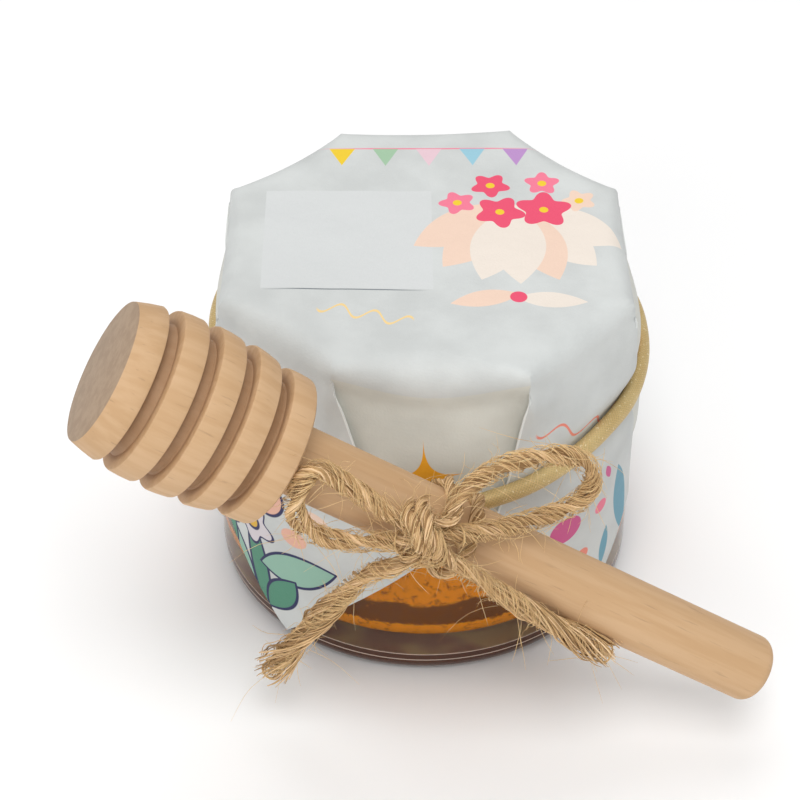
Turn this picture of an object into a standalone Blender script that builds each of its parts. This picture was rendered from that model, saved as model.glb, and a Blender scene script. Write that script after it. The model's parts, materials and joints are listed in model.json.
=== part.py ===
"""A small honey jar dressed as a gift.

The glass jar stands on z = 0 with its axis on Z and its front towards -Y.  A square sheet of paper
is folded over the closed lid, an elastic gold cord holds the paper round the jar's neck, and a
turned wooden honey dipper is tied on at the front with a bow of jute twine.  All sizes are in metres.
"""
import math

import bmesh
import bpy
from mathutils import Matrix, Vector

# The glass jar.
JAR_RADIUS = 0.0301
WALL = 0.0022
FLOOR = 0.0050
HEEL_RADIUS = 0.0030
INNER_HEEL_RADIUS = 0.0045
SHOULDER_Z = 0.0320
SHOULDER_RADIUS = 0.0080
SHOULDER_TURN = 65.0
NECK_RADIUS = 0.0246
NECK_FOOT_Z = 0.0405
MOUTH_RADIUS = 0.0222
MOUTH_Z = 0.0530
LIP_EDGE = 0.0005
JAR_SIDES = 40

# What is in and on the jar.
GAP = 0.0003
LID_RADIUS = 0.0262
LID_SHEET = 0.0007
LID_SKIRT_Z = 0.0420
LID_EDGE = 0.0012

# The paper cover: a square sheet over an eight-cornered top, with a kite-shaped flap at each of the
# sheet's corners.  Azimuths are in degrees from the front, towards +X.
COVER_TOP = 0.0546
COVER_SHEET = 0.0004
COVER_BEND = 0.0017
RIM_CORNERS = (
    (-155.0, 0.0292), (-115.0, 0.0303), (-65.0, 0.0307), (-25.0, 0.0297),
    (25.0, 0.0312), (65.0, 0.0306), (115.0, 0.0300), (155.0, 0.0300),
)
SKIRT_RADIUS = 0.0307
SKIRT_REACH = 0.0140
WAIST_HEIGHT = 0.0028
# The height of each side panel's hem, by the azimuth of the panel's middle.
PANEL_HEMS = {0.0: 0.0242, 90.0: 0.0275, 180.0: 0.0242, -90.0: 0.0242}
# Each flap: its tip's azimuth and height, and its rim corners' numbers with the lean of the fold
# that runs down from each of them, in degrees from the vertical.
FLAPS = (
    (-40.0, 0.0026, 2, 12.0, 3, 22.0),
    (45.0, 0.0030, 4, 10.0, 5, 5.0),
    (135.0, 0.0030, 6, 14.0, 7, 12.0),
    (-135.0, 0.0028, 0, 16.0, 1, 12.0),
)
FLAP_LIFT = 0.00035
FLAP_LIFT_REACH = 0.0040
FOLD_SPAN = 3.0
COLUMNS = 72
ROWS_ABOVE_CORD = 7
ROWS_BELOW_CORD = 5
FLAP_ROWS = 3
FLAP_ROWS_Z = 0.0285

# The elastic cord: azimuth, distance from the axis and height of its centreline.
GOLD_RADIUS = 0.0012
GOLD_ROUTE = (
    (0.0, 0.0350, 0.0354), (12.0, 0.0333, 0.0363), (24.0, 0.0325, 0.0366),
    (36.0, 0.0317, 0.0371), (50.0, 0.0311, 0.0378), (66.0, 0.0307, 0.0376),
    (84.0, 0.0304, 0.0380), (104.0, 0.0303, 0.0384), (126.0, 0.0303, 0.0386),
    (152.0, 0.0304, 0.0389), (180.0, 0.0304, 0.0392), (208.0, 0.0303, 0.0396),
    (234.0, 0.0298, 0.0400), (258.0, 0.0293, 0.0402), (280.0, 0.0293, 0.0400),
    (302.0, 0.0301, 0.0390), (324.0, 0.0314, 0.0372), (336.0, 0.0325, 0.0362),
    (348.0, 0.0348, 0.0356),
)
GOLD_STEPS = 72

# The honey dipper: turned about its own axis, which passes the knot and rises towards the head.
DIPPER_AT_KNOT = Vector((0.0001, -0.0399, 0.0401))
DIPPER_PITCH = 32.04
DIPPER_YAW = -0.75
DIPPER_LENGTH = 0.0998
KNOT_TO_HEAD = 0.0471
HANDLE_RADIUS = 0.0046
HANDLE_END_RADIUS = 0.0016
DISC_RADII = (0.0098, 0.0107, 0.0110, 0.0108, 0.0100)
DISC_WIDTH = 0.0034
FIRST_DISC_WIDTH = 0.0038
GROOVE_WIDTH = 0.0018
GROOVE_DEPTH = 0.0021
DISC_EDGE = 0.0003
FACE_RADIUS = 0.0094
HEAD_FOOT = 0.0024
DIPPER_SIDES = 30

# The twine: two turns round the handle and the elastic cord, a knot, two loops and two loose ends.
TWINE_RADIUS = 0.0012
WRAP_OFFSETS = (-0.0018, 0.0018)
WRAP_SLACK = 0.0009
WRAP_STEPS = 28
KNOT_CENTRE = Vector((-0.0001, -0.0485, 0.0460))
KNOT_SIZE = (0.0023, 0.0018, 0.0028)
TWINE_ROUTES = {
    "bow_loop_right": (
        (0.0029, -0.0469, 0.0481), (0.0046, -0.0449, 0.0505), (0.0086, -0.0422, 0.0514),
        (0.0130, -0.0400, 0.0511), (0.0170, -0.0385, 0.0501), (0.0200, -0.0375, 0.0476),
        (0.0208, -0.0375, 0.0442), (0.0187, -0.0386, 0.0417), (0.0137, -0.0412, 0.0417),
        (0.0080, -0.0448, 0.0433), (0.0036, -0.0473, 0.0448),
    ),
    "bow_loop_left": (
        (-0.0033, -0.0476, 0.0474), (-0.0059, -0.0470, 0.0490), (-0.0090, -0.0465, 0.0515),
        (-0.0122, -0.0463, 0.0543), (-0.0143, -0.0466, 0.0552), (-0.0158, -0.0467, 0.0534),
        (-0.0168, -0.0467, 0.0503), (-0.0163, -0.0466, 0.0468), (-0.0144, -0.0465, 0.0443),
        (-0.0108, -0.0464, 0.0430), (-0.0070, -0.0468, 0.0433), (-0.0038, -0.0478, 0.0442),
    ),
    "bow_end_left": (
        (-0.0026, -0.0489, 0.0422), (-0.0043, -0.0477, 0.0399), (-0.0076, -0.0453, 0.0361),
        (-0.0108, -0.0436, 0.0307), (-0.0141, -0.0420, 0.0245), (-0.0178, -0.0405, 0.0180),
        (-0.0212, -0.0390, 0.0108),
    ),
    "bow_end_right": (
        (0.0022, -0.0490, 0.0421), (0.0037, -0.0483, 0.0402), (0.0061, -0.0475, 0.0371),
        (0.0093, -0.0471, 0.0340), (0.0137, -0.0466, 0.0299), (0.0182, -0.0460, 0.0255),
        (0.0234, -0.0453, 0.0210),
    ),
}
TWINE_SPACING = 0.0030


def clear_scene():
    for obj in list(bpy.data.objects):
        bpy.data.objects.remove(obj, do_unlink=True)


def material(name, colour, roughness, metallic=0.0):
    """A plain surface of one colour."""
    made = bpy.data.materials.new(name)
    made.use_nodes = True
    surface = made.node_tree.nodes["Principled BSDF"]
    surface.inputs["Base Color"].default_value = (*colour, 1.0)
    surface.inputs["Roughness"].default_value = roughness
    surface.inputs["Metallic"].default_value = metallic
    return made


def add_object(name, data, surface):
    obj = bpy.data.objects.new(name, data)
    data.materials.append(surface)
    bpy.context.collection.objects.link(obj)
    return obj


def add_solid(name, bm, surface):
    """Turn a finished bmesh into an object with smooth faces and crisp edges."""
    bmesh.ops.recalc_face_normals(bm, faces=bm.faces)
    mesh = bpy.data.meshes.new(name)
    bm.to_mesh(mesh)
    bm.free()
    mesh.shade_smooth()
    mesh.set_sharp_from_angle(angle=math.radians(35.0))
    return add_object(name, mesh, surface)


def arc(centre_r, centre_z, radius, start, end, steps):
    """Points of an arc in a turned profile, from one angle to another in degrees."""
    points = []
    for i in range(steps + 1):
        turn = math.radians(start + (end - start) * i / steps)
        points.append((centre_r + radius * math.cos(turn), centre_z + radius * math.sin(turn)))
    return points


def turned(name, profile, sides, surface):
    """A solid of revolution about Z from a profile of (radius, z) points that starts and ends on it."""
    bm = bmesh.new()
    corners = [bm.verts.new((r, 0.0, z)) for r, z in profile]
    edges = [bm.edges.new(pair) for pair in zip(corners, corners[1:])]
    bmesh.ops.spin(
        bm, geom=corners + edges, cent=(0, 0, 0), axis=(0, 0, 1), angle=math.tau, steps=sides,
        use_merge=True, use_duplicate=False,
    )
    bmesh.ops.remove_doubles(bm, verts=bm.verts, dist=1e-6)
    return add_solid(name, bm, surface)


def smooth_step(x):
    x = min(max(x, 0.0), 1.0)
    return x * x * (3.0 - 2.0 * x)


# The jar, its honey and its lid.

def build_jar():
    neck_r = JAR_RADIUS - SHOULDER_RADIUS
    profile = [(0.0, 0.0)]
    profile += arc(JAR_RADIUS - HEEL_RADIUS, HEEL_RADIUS, HEEL_RADIUS, -90, 0, 4)
    profile += arc(neck_r, SHOULDER_Z, SHOULDER_RADIUS, 0, SHOULDER_TURN, 5)
    profile += [(NECK_RADIUS, NECK_FOOT_Z), (NECK_RADIUS, MOUTH_Z - LIP_EDGE)]
    profile += [(NECK_RADIUS - LIP_EDGE, MOUTH_Z), (MOUTH_RADIUS + LIP_EDGE, MOUTH_Z)]
    profile += [(MOUTH_RADIUS, MOUTH_Z - LIP_EDGE), (MOUTH_RADIUS, NECK_FOOT_Z)]
    profile += arc(neck_r, SHOULDER_Z, SHOULDER_RADIUS - WALL, SHOULDER_TURN, 0, 5)
    profile += arc(
        JAR_RADIUS - WALL - INNER_HEEL_RADIUS, FLOOR + INNER_HEEL_RADIUS, INNER_HEEL_RADIUS, 0, -90, 5
    )
    profile += [(0.0, FLOOR)]
    turned("glass_jar", profile, JAR_SIDES, material("glass", (0.92, 0.93, 0.92), 0.05))


def build_honey():
    """The honey fills the jar up to its shoulder, a hair clear of the glass."""
    side = JAR_RADIUS - WALL - GAP
    heel = INNER_HEEL_RADIUS - GAP
    profile = [(0.0, FLOOR + GAP)]
    profile += arc(side - heel, FLOOR + GAP + heel, heel, -90, 0, 5)
    shoulder = SHOULDER_RADIUS - WALL - GAP
    profile += arc(JAR_RADIUS - SHOULDER_RADIUS, SHOULDER_Z, shoulder, 0, SHOULDER_TURN, 4)
    profile += [(0.0, profile[-1][1])]
    turned("honey", profile, JAR_SIDES, material("honey", (0.55, 0.22, 0.03), 0.15))


def build_lid():
    top = MOUTH_Z + GAP + LID_SHEET
    inside = LID_RADIUS - LID_SHEET
    profile = [(0.0, MOUTH_Z + GAP), (inside, MOUTH_Z + GAP)]
    profile += [(inside, LID_SKIRT_Z), (LID_RADIUS, LID_SKIRT_Z)]
    profile += arc(LID_RADIUS - LID_EDGE, top - LID_EDGE, LID_EDGE, 0, 90, 3)
    profile += [(0.0, top)]
    turned("lid", profile, JAR_SIDES, material("lid", (0.80, 0.64, 0.28), 0.35, 1.0))


# Routes of cords.

def smooth_route(points, closed, per_span=12):
    """A Catmull-Rom curve through the points, as closely spaced points."""
    count = len(points)
    spans = count if closed else count - 1
    fine = []
    for i in range(spans):
        if closed:
            a, b, c, d = (points[(i + k) % count] for k in (-1, 0, 1, 2))
        else:
            a, b, c, d = (points[min(max(i + k, 0), count - 1)] for k in (-1, 0, 1, 2))
        for j in range(per_span):
            t = j / per_span
            fine.append(
                0.5 * (2 * b + (c - a) * t + (2 * a - 5 * b + 4 * c - d) * t * t
                       + (3 * b - a - 3 * c + d) * t ** 3)
            )
    if not closed:
        fine.append(points[-1].copy())
    return fine


def spaced(points, spacing, closed):
    """The route again, with points evenly spaced along it."""
    line = points + points[:1] if closed else points
    along = [0.0]
    for a, b in zip(line, line[1:]):
        along.append(along[-1] + (b - a).length)
    count = max(3, round(along[-1] / spacing))
    even, k = [], 0
    for i in range(count if closed else count + 1):
        at = along[-1] * i / count
        while k < len(along) - 2 and along[k + 1] < at:
            k += 1
        share = (at - along[k]) / (along[k + 1] - along[k])
        even.append(line[k].lerp(line[k + 1], share))
    return even


def gold_line():
    """The elastic cord's centreline as closely spaced points, all the way round."""
    corners = []
    for azimuth, distance, z in GOLD_ROUTE:
        turn = math.radians(azimuth)
        corners.append(Vector((distance * math.sin(turn), -distance * math.cos(turn), z)))
    return smooth_route(corners, closed=True)


def gold_cord_at(azimuth):
    """The elastic cord's distance from the axis and its height at an azimuth."""
    line = gold_line()
    turns = [math.degrees(math.atan2(p.x, -p.y)) % 360.0 for p in line] + [360.0]
    line.append(line[0])
    azimuth %= 360.0
    i = next(k for k in range(len(line) - 1) if turns[k] <= azimuth <= turns[k + 1])
    point = line[i].lerp(line[i + 1], (azimuth - turns[i]) / (turns[i + 1] - turns[i]))
    return math.hypot(point.x, point.y), point.z


# The paper cover.

def turn_between(azimuth, start):
    """The azimuth, moved by whole turns to lie within a turn after start."""
    return start + (azimuth - start) % 360.0


def apart(azimuth, other):
    """The angle between two azimuths, in degrees."""
    return abs((azimuth - other + 180.0) % 360.0 - 180.0)


def rim_distance(azimuth):
    """How far the eight-cornered top reaches from the axis towards an azimuth."""
    for i, (first, first_r) in enumerate(RIM_CORNERS):
        second, second_r = RIM_CORNERS[(i + 1) % len(RIM_CORNERS)]
        span = (second - first) % 360.0
        past = (azimuth - first) % 360.0
        if past <= span:
            a, b = math.radians(past), math.radians(span - past)
            return first_r * second_r * math.sin(a + b) / (first_r * math.sin(a) + second_r * math.sin(b))
    raise ValueError("azimuth outside the rim")


def fold_shift(lean, z):
    """How far round the jar a leaning fold has moved at a height, in degrees."""
    return math.degrees(math.tan(math.radians(lean)) * (COVER_TOP - z) / SKIRT_RADIUS)


def flap_share(azimuth, z):
    """1 where a corner flap lies on top, 0 where a side panel shows, and between them at the fold."""
    share = 0.0
    for _, _, first, first_lean, second, second_lean in FLAPS:
        start = RIM_CORNERS[first][0] - fold_shift(first_lean, z)
        end = turn_between(RIM_CORNERS[second][0], RIM_CORNERS[first][0]) + fold_shift(second_lean, z)
        past = turn_between(azimuth, start - 60.0)
        inside = min(past - start, end - past)
        share = max(share, smooth_step(inside / FOLD_SPAN + 0.5))
    return share


def hem_height(azimuth):
    """The paper's lower edge: straight under the side panels, two slanting cuts to each flap's tip."""
    nearest = min(PANEL_HEMS, key=lambda middle: apart(azimuth, middle))
    slants = [tip_z + math.radians(apart(azimuth, tip)) * SKIRT_RADIUS for tip, tip_z, *_ in FLAPS]
    return min(PANEL_HEMS[nearest], *slants)


def free_radius(azimuth, z):
    """How far the paper's outer face would be from the axis if no cord held it in."""
    down = smooth_step((COVER_TOP - z) / SKIRT_REACH)
    lift = FLAP_LIFT * flap_share(azimuth, z) * smooth_step((COVER_TOP - z) / FLAP_LIFT_REACH)
    return rim_distance(azimuth) * (1.0 - down) + SKIRT_RADIUS * down + lift


def skirt_radius(azimuth, z):
    """The distance of the paper's outer face from the axis, with the waist that the cord pulls in."""
    cord_distance, cord_z = gold_cord_at(azimuth)
    pinch = max(0.0, free_radius(azimuth, cord_z) - (cord_distance - GOLD_RADIUS - GAP))
    return free_radius(azimuth, z) - pinch * math.exp(-(((z - cord_z) / WAIST_HEIGHT) ** 2))


def cover_rows(azimuth, inset):
    """Points down the paper at one azimuth, as (distance, z), on a face set in by inset."""
    rim, top, bend = rim_distance(azimuth), COVER_TOP - inset, COVER_BEND - inset
    rows = []
    for turn in (90.0, 60.0, 30.0, 0.0):
        tilt = math.radians(turn)
        rows.append((rim - COVER_BEND + bend * math.cos(tilt), top - bend + bend * math.sin(tilt)))
    _, cord_z = gold_cord_at(azimuth)
    levels = (COVER_TOP - COVER_BEND, cord_z, FLAP_ROWS_Z, hem_height(azimuth))
    heights = []
    for upper, lower, steps in zip(levels, levels[1:], (ROWS_ABOVE_CORD, ROWS_BELOW_CORD, FLAP_ROWS)):
        heights += [upper + (lower - upper) * i / steps for i in range(1, steps + 1)]
    return rows + [(skirt_radius(azimuth, z) - inset, z) for z in heights]


def build_cover():
    """The outer and the inner face of the paper, joined along the hem."""
    bm = bmesh.new()
    faces = []
    for inset in (0.0, COVER_SHEET):
        rings = []
        for i in range(COLUMNS):
            azimuth = 360.0 * i / COLUMNS
            turn = math.radians(azimuth)
            rows = cover_rows(azimuth, inset)
            rings.append([bm.verts.new((r * math.sin(turn), -r * math.cos(turn), z)) for r, z in rows])
        centre = bm.verts.new((0.0, 0.0, COVER_TOP - inset))
        for here, there in zip(rings, rings[1:] + rings[:1]):
            bm.faces.new((centre, here[0], there[0]))
            for j in range(len(here) - 1):
                bm.faces.new((here[j], here[j + 1], there[j + 1], there[j]))
        faces.append(rings)
    outer, inner = faces
    for i in range(COLUMNS):
        j = (i + 1) % COLUMNS
        bm.faces.new((outer[i][-1], inner[i][-1], inner[j][-1], outer[j][-1]))
    add_solid("paper_cover", bm, material("paper", (0.80, 0.82, 0.82), 0.6))


def tube(name, points, radius, closed, surface):
    """A round cord along points: a poly curve with a round section and filled ends."""
    curve = bpy.data.curves.new(name, "CURVE")
    curve.dimensions = "3D"
    curve.bevel_depth = radius
    curve.bevel_resolution = 2
    curve.use_fill_caps = True
    spline = curve.splines.new("POLY")
    spline.points.add(len(points) - 1)
    for place, point in zip(spline.points, points):
        place.co = (*point, 1.0)
    spline.use_cyclic_u = closed
    return add_object(name, curve, surface)


def build_gold_cord():
    fine = gold_line()
    length = sum((b - a).length for a, b in zip(fine, fine[1:] + fine[:1]))
    points = spaced(fine, length / GOLD_STEPS, closed=True)
    tube("gold_cord", points, GOLD_RADIUS, True, material("gold_cord", (0.62, 0.50, 0.24), 0.45))


# The honey dipper.

def dipper_direction():
    pitch, yaw = math.radians(DIPPER_PITCH), math.radians(DIPPER_YAW)
    return Vector((-math.cos(pitch) * math.cos(yaw), -math.cos(pitch) * math.sin(yaw), math.sin(pitch)))


def build_dipper():
    """The profile runs from the flat face of the head, over its discs, to the handle's rounded end."""
    z = DIPPER_LENGTH
    profile = [(0.0, z), (FACE_RADIUS - DISC_EDGE, z), (FACE_RADIUS, z - DISC_EDGE)]
    for i, radius in enumerate(DISC_RADII):
        if i:
            profile += [(radius - DISC_EDGE, z), (radius, z - DISC_EDGE)]
        z -= DISC_WIDTH if i else FIRST_DISC_WIDTH
        after = DISC_RADII[min(i + 1, len(DISC_RADII) - 1)]
        lower = (radius + after) / 2
        profile.append((lower, z + DISC_EDGE))
        if i < len(DISC_RADII) - 1:
            profile += [(lower - DISC_EDGE, z), (lower - GROOVE_DEPTH, z)]
            z -= GROOVE_WIDTH
            profile.append((after - GROOVE_DEPTH, z))
    profile += [(DISC_RADII[-1] - 3 * DISC_EDGE, z - DISC_EDGE)]
    profile += [(HANDLE_RADIUS + DISC_EDGE, z - HEAD_FOOT / 2), (HANDLE_RADIUS, z - HEAD_FOOT)]
    profile += [(HANDLE_RADIUS, DIPPER_LENGTH / 3)]
    profile += arc(
        HANDLE_RADIUS - HANDLE_END_RADIUS, HANDLE_END_RADIUS, HANDLE_END_RADIUS, 0, -90, 3
    )
    profile += [(0.0, 0.0)]
    dipper = turned("honey_dipper", profile, DIPPER_SIDES, material("beech", (0.72, 0.50, 0.30), 0.6))
    direction = dipper_direction()
    tail = DIPPER_AT_KNOT - direction * (DIPPER_LENGTH - KNOT_TO_HEAD)
    dipper.matrix_world = Matrix.Translation(tail) @ direction.to_track_quat("Z", "Y").to_matrix().to_4x4()


# The twine.

def wrap_points(offset):
    """A closed turn of twine, square to the handle and pulled tight round it and the elastic cord."""
    direction = dipper_direction()
    handle = DIPPER_AT_KNOT + direction * (offset / direction.x)
    slant = -direction.z / direction.x
    cord = min(gold_line(), key=lambda p: (p - handle).length + abs(p.x - handle.x - slant * (p.z - handle.z)))
    clear = GAP + TWINE_RADIUS
    across, round_cord = HANDLE_RADIUS + clear, GOLD_RADIUS + clear
    up = across * math.cos(math.radians(DIPPER_PITCH)) + WRAP_SLACK
    points = []
    for i in range(720):
        turn = math.tau * i / 720
        ny, nz = math.cos(turn), math.sin(turn)
        reach = math.hypot(across * ny, up * nz)
        if cord.y * ny + cord.z * nz + round_cord > handle.y * ny + handle.z * nz + reach:
            y, z = cord.y + round_cord * ny, cord.z + round_cord * nz
        else:
            y, z = handle.y + across ** 2 * ny / reach, handle.z + up ** 2 * nz / reach
        points.append(Vector((handle.x + slant * (z - handle.z), y, z)))
    length = sum((b - a).length for a, b in zip(points, points[1:] + points[:1]))
    return spaced(points, length / WRAP_STEPS, closed=True)


def build_twine():
    jute = material("jute", (0.58, 0.42, 0.25), 0.9)
    for side, offset in zip(("left", "right"), WRAP_OFFSETS):
        tube(f"twine_wrap_{side}", wrap_points(offset), TWINE_RADIUS, True, jute)
    bm = bmesh.new()
    bmesh.ops.create_uvsphere(bm, u_segments=16, v_segments=10, radius=1.0)
    shape = Matrix.Translation(KNOT_CENTRE) @ Matrix.Diagonal((*KNOT_SIZE, 1.0))
    bmesh.ops.transform(bm, matrix=shape, verts=bm.verts)
    add_solid("twine_knot", bm, jute)
    for name, route in TWINE_ROUTES.items():
        fine = smooth_route([Vector(point) for point in route], closed=False)
        tube(name, spaced(fine, TWINE_SPACING, closed=False), TWINE_RADIUS, False, jute)


clear_scene()
build_jar()
build_honey()
build_lid()
build_cover()
build_gold_cord()
build_dipper()
build_twine()
bpy.context.view_layer.update()
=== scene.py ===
"""The looks of a small honey jar dressed as a gift.

Laid out as an add-on: a settings group, one operator for each piece, and a panel in the sidebar.
All sizes are in metres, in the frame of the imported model: +Z up, the jar's front towards -Y.
"""

import json
import math
import random

import bpy
from mathutils import Matrix, Vector, noise
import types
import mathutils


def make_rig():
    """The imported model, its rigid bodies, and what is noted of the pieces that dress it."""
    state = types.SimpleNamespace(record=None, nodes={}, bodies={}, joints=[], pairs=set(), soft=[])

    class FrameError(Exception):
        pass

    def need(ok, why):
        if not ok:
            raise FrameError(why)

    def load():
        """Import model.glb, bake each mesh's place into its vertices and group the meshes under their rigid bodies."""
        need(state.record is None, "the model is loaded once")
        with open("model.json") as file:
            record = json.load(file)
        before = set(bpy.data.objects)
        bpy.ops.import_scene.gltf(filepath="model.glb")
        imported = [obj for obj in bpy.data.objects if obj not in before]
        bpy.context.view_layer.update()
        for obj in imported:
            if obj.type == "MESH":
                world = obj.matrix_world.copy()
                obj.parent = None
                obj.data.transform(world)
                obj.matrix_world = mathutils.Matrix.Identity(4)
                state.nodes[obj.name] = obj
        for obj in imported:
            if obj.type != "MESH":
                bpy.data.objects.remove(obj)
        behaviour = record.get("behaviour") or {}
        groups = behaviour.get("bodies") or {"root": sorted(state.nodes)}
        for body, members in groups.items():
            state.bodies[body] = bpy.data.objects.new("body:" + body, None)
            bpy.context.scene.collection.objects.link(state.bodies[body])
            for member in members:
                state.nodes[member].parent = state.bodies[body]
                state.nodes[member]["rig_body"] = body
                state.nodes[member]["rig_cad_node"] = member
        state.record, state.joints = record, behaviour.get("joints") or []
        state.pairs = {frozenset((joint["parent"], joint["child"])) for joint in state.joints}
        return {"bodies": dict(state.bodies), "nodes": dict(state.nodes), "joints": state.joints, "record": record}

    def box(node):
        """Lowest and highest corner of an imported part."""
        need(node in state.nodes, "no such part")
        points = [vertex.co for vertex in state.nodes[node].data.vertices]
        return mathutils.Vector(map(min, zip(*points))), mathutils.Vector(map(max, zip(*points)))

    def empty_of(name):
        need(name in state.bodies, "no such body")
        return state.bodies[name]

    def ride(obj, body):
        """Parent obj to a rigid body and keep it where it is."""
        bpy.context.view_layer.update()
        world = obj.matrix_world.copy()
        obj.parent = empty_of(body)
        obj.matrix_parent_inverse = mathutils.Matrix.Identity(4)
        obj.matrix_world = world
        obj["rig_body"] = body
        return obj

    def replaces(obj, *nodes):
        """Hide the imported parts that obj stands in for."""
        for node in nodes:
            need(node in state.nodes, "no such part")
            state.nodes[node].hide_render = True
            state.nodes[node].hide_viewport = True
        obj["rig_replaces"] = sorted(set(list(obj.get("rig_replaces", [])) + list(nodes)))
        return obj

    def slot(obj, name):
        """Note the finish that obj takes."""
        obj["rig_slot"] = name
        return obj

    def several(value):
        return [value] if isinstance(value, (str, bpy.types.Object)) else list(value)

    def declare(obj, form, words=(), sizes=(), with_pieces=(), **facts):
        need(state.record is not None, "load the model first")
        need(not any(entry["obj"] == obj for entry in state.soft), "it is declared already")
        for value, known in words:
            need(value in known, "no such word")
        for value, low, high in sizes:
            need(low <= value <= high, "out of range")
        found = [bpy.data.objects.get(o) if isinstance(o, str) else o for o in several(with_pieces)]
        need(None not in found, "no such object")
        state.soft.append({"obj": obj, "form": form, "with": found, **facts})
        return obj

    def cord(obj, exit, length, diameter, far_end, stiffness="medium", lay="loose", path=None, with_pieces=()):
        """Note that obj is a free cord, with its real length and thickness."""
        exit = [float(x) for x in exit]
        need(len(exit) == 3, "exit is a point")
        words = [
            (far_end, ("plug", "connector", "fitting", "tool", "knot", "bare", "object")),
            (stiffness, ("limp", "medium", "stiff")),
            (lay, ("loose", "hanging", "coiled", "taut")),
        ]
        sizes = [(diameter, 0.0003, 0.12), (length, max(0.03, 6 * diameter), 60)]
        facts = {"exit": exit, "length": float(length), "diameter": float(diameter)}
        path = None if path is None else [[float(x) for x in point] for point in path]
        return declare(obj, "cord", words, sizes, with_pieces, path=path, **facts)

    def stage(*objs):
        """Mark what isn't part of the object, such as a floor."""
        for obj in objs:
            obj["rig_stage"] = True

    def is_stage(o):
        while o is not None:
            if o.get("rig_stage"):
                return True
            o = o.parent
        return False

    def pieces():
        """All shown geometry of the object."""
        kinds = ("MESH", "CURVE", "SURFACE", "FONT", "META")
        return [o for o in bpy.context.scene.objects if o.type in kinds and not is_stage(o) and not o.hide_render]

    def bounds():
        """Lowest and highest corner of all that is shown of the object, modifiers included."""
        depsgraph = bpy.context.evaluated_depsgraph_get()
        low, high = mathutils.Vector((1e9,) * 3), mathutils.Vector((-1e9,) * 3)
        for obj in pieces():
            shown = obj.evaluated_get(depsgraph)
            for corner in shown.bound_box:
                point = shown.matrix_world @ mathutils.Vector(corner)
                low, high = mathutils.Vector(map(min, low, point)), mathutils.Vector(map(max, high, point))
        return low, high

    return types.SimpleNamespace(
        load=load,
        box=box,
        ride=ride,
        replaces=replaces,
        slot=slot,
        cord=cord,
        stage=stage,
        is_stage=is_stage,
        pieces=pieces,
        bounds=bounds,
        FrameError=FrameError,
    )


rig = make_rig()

bl_info = {
    "name": "Gift honey jar",
    "version": (1, 0, 0),
    "blender": (4, 5, 0),
    "location": "3D View > Sidebar > Honey Jar",
    "description": "Builds a honey jar with a paper cover, a honey dipper and a twine bow",
    "category": "Object",
}

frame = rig.load()
CAD_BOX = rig.bounds()
_, GLASS_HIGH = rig.box("glass_jar")
_, HONEY_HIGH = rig.box("honey")
_, COVER_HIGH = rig.box("paper_cover")

# The jar and its lid.  PIN is the small radius at which a turned profile ends beside its axis.
JAR_RADIUS = GLASS_HIGH.x
WALL = 0.0022
FLOOR = 0.0050
HEEL = 0.0030
INNER_HEEL = 0.0045
SHOULDER_Z = 0.0320
SHOULDER_RADIUS = 0.0080
SHOULDER_TURN = 65.0
NECK_RADIUS = 0.0246
MOUTH_RADIUS = 0.0222
MOUTH_Z = GLASS_HIGH.z
FOOT_RING = 0.0262
# The heights of two pale painted highlight lines round the foot, thin glints on the heel.
FOOT_HIGHLIGHT_LINES = ((0.0030, 0.00316), (0.0041, 0.00424))
BASE_TOP = 0.00055
PIN = 0.0006

# The heights over which painted light makes the honey bright, above and below its dull zone of painted shade.
PAINTED_LIGHT_ABOVE = (0.0128, 0.0136)
PAINTED_LIGHT_BELOW = (0.0091, 0.0086)

# The paper cover.  Azimuths are in degrees from the front, towards +X.
COVER_TOP = COVER_HIGH.z
COVER_BEND = 0.0017
RIM_CORNERS = (
    (-155.0, 0.0292), (-115.0, 0.0303), (-65.0, 0.0307), (-25.0, 0.0297),
    (25.0, 0.0312), (65.0, 0.0306), (115.0, 0.0300), (155.0, 0.0300),
)
SKIRT_RADIUS = 0.0307
SKIRT_REACH = 0.0140
WAIST_HEIGHT = 0.0030
CORD_GAP = 0.0001
PANEL_COLUMNS = 30
PANEL_ROWS = 34
FLAP_ROWS = 48
TOP_RINGS = 28
PANEL_HEMS = {-25: 0.0242, 65: 0.0275, 155: 0.0242, -115: 0.0242}
# Each flap: its tip's azimuth and height, its first rim corner's number, and the lean of its two folds.
FLAPS = (
    (-40.0, 0.0026, 2, 12.0, 22.0),
    (45.0, 0.0030, 4, 10.0, 5.0),
    (135.0, 0.0030, 6, 14.0, 12.0),
    (-135.0, 0.0028, 0, 16.0, 12.0),
)
FLAP_LIFT = 0.00035
LIFT_REACH = 0.004
SHEET_SIDE = 0.120

# The top's rounded edge bends less sharply between its corners, and least at the front panel.
FLAP_BEND = 0.0034
PANEL_BEND = 0.0026
FRONT_BEND = 0.0044
FRONT_PANEL = 3

# The step at a fold, deeper at the corners within FRONT_HALF degrees of the front, and the strip of
# paper that turns under there.
FOLD_STEP = 0.0007
BACK_FOLD_STEP = 0.0002
FRONT_HALF = 30.0
TURN_WIDTH, TURN_DEPTH = 0.00022, 0.00020
UNDER_WIDTH, UNDER_DEPTH = 0.0009, 0.0003

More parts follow.
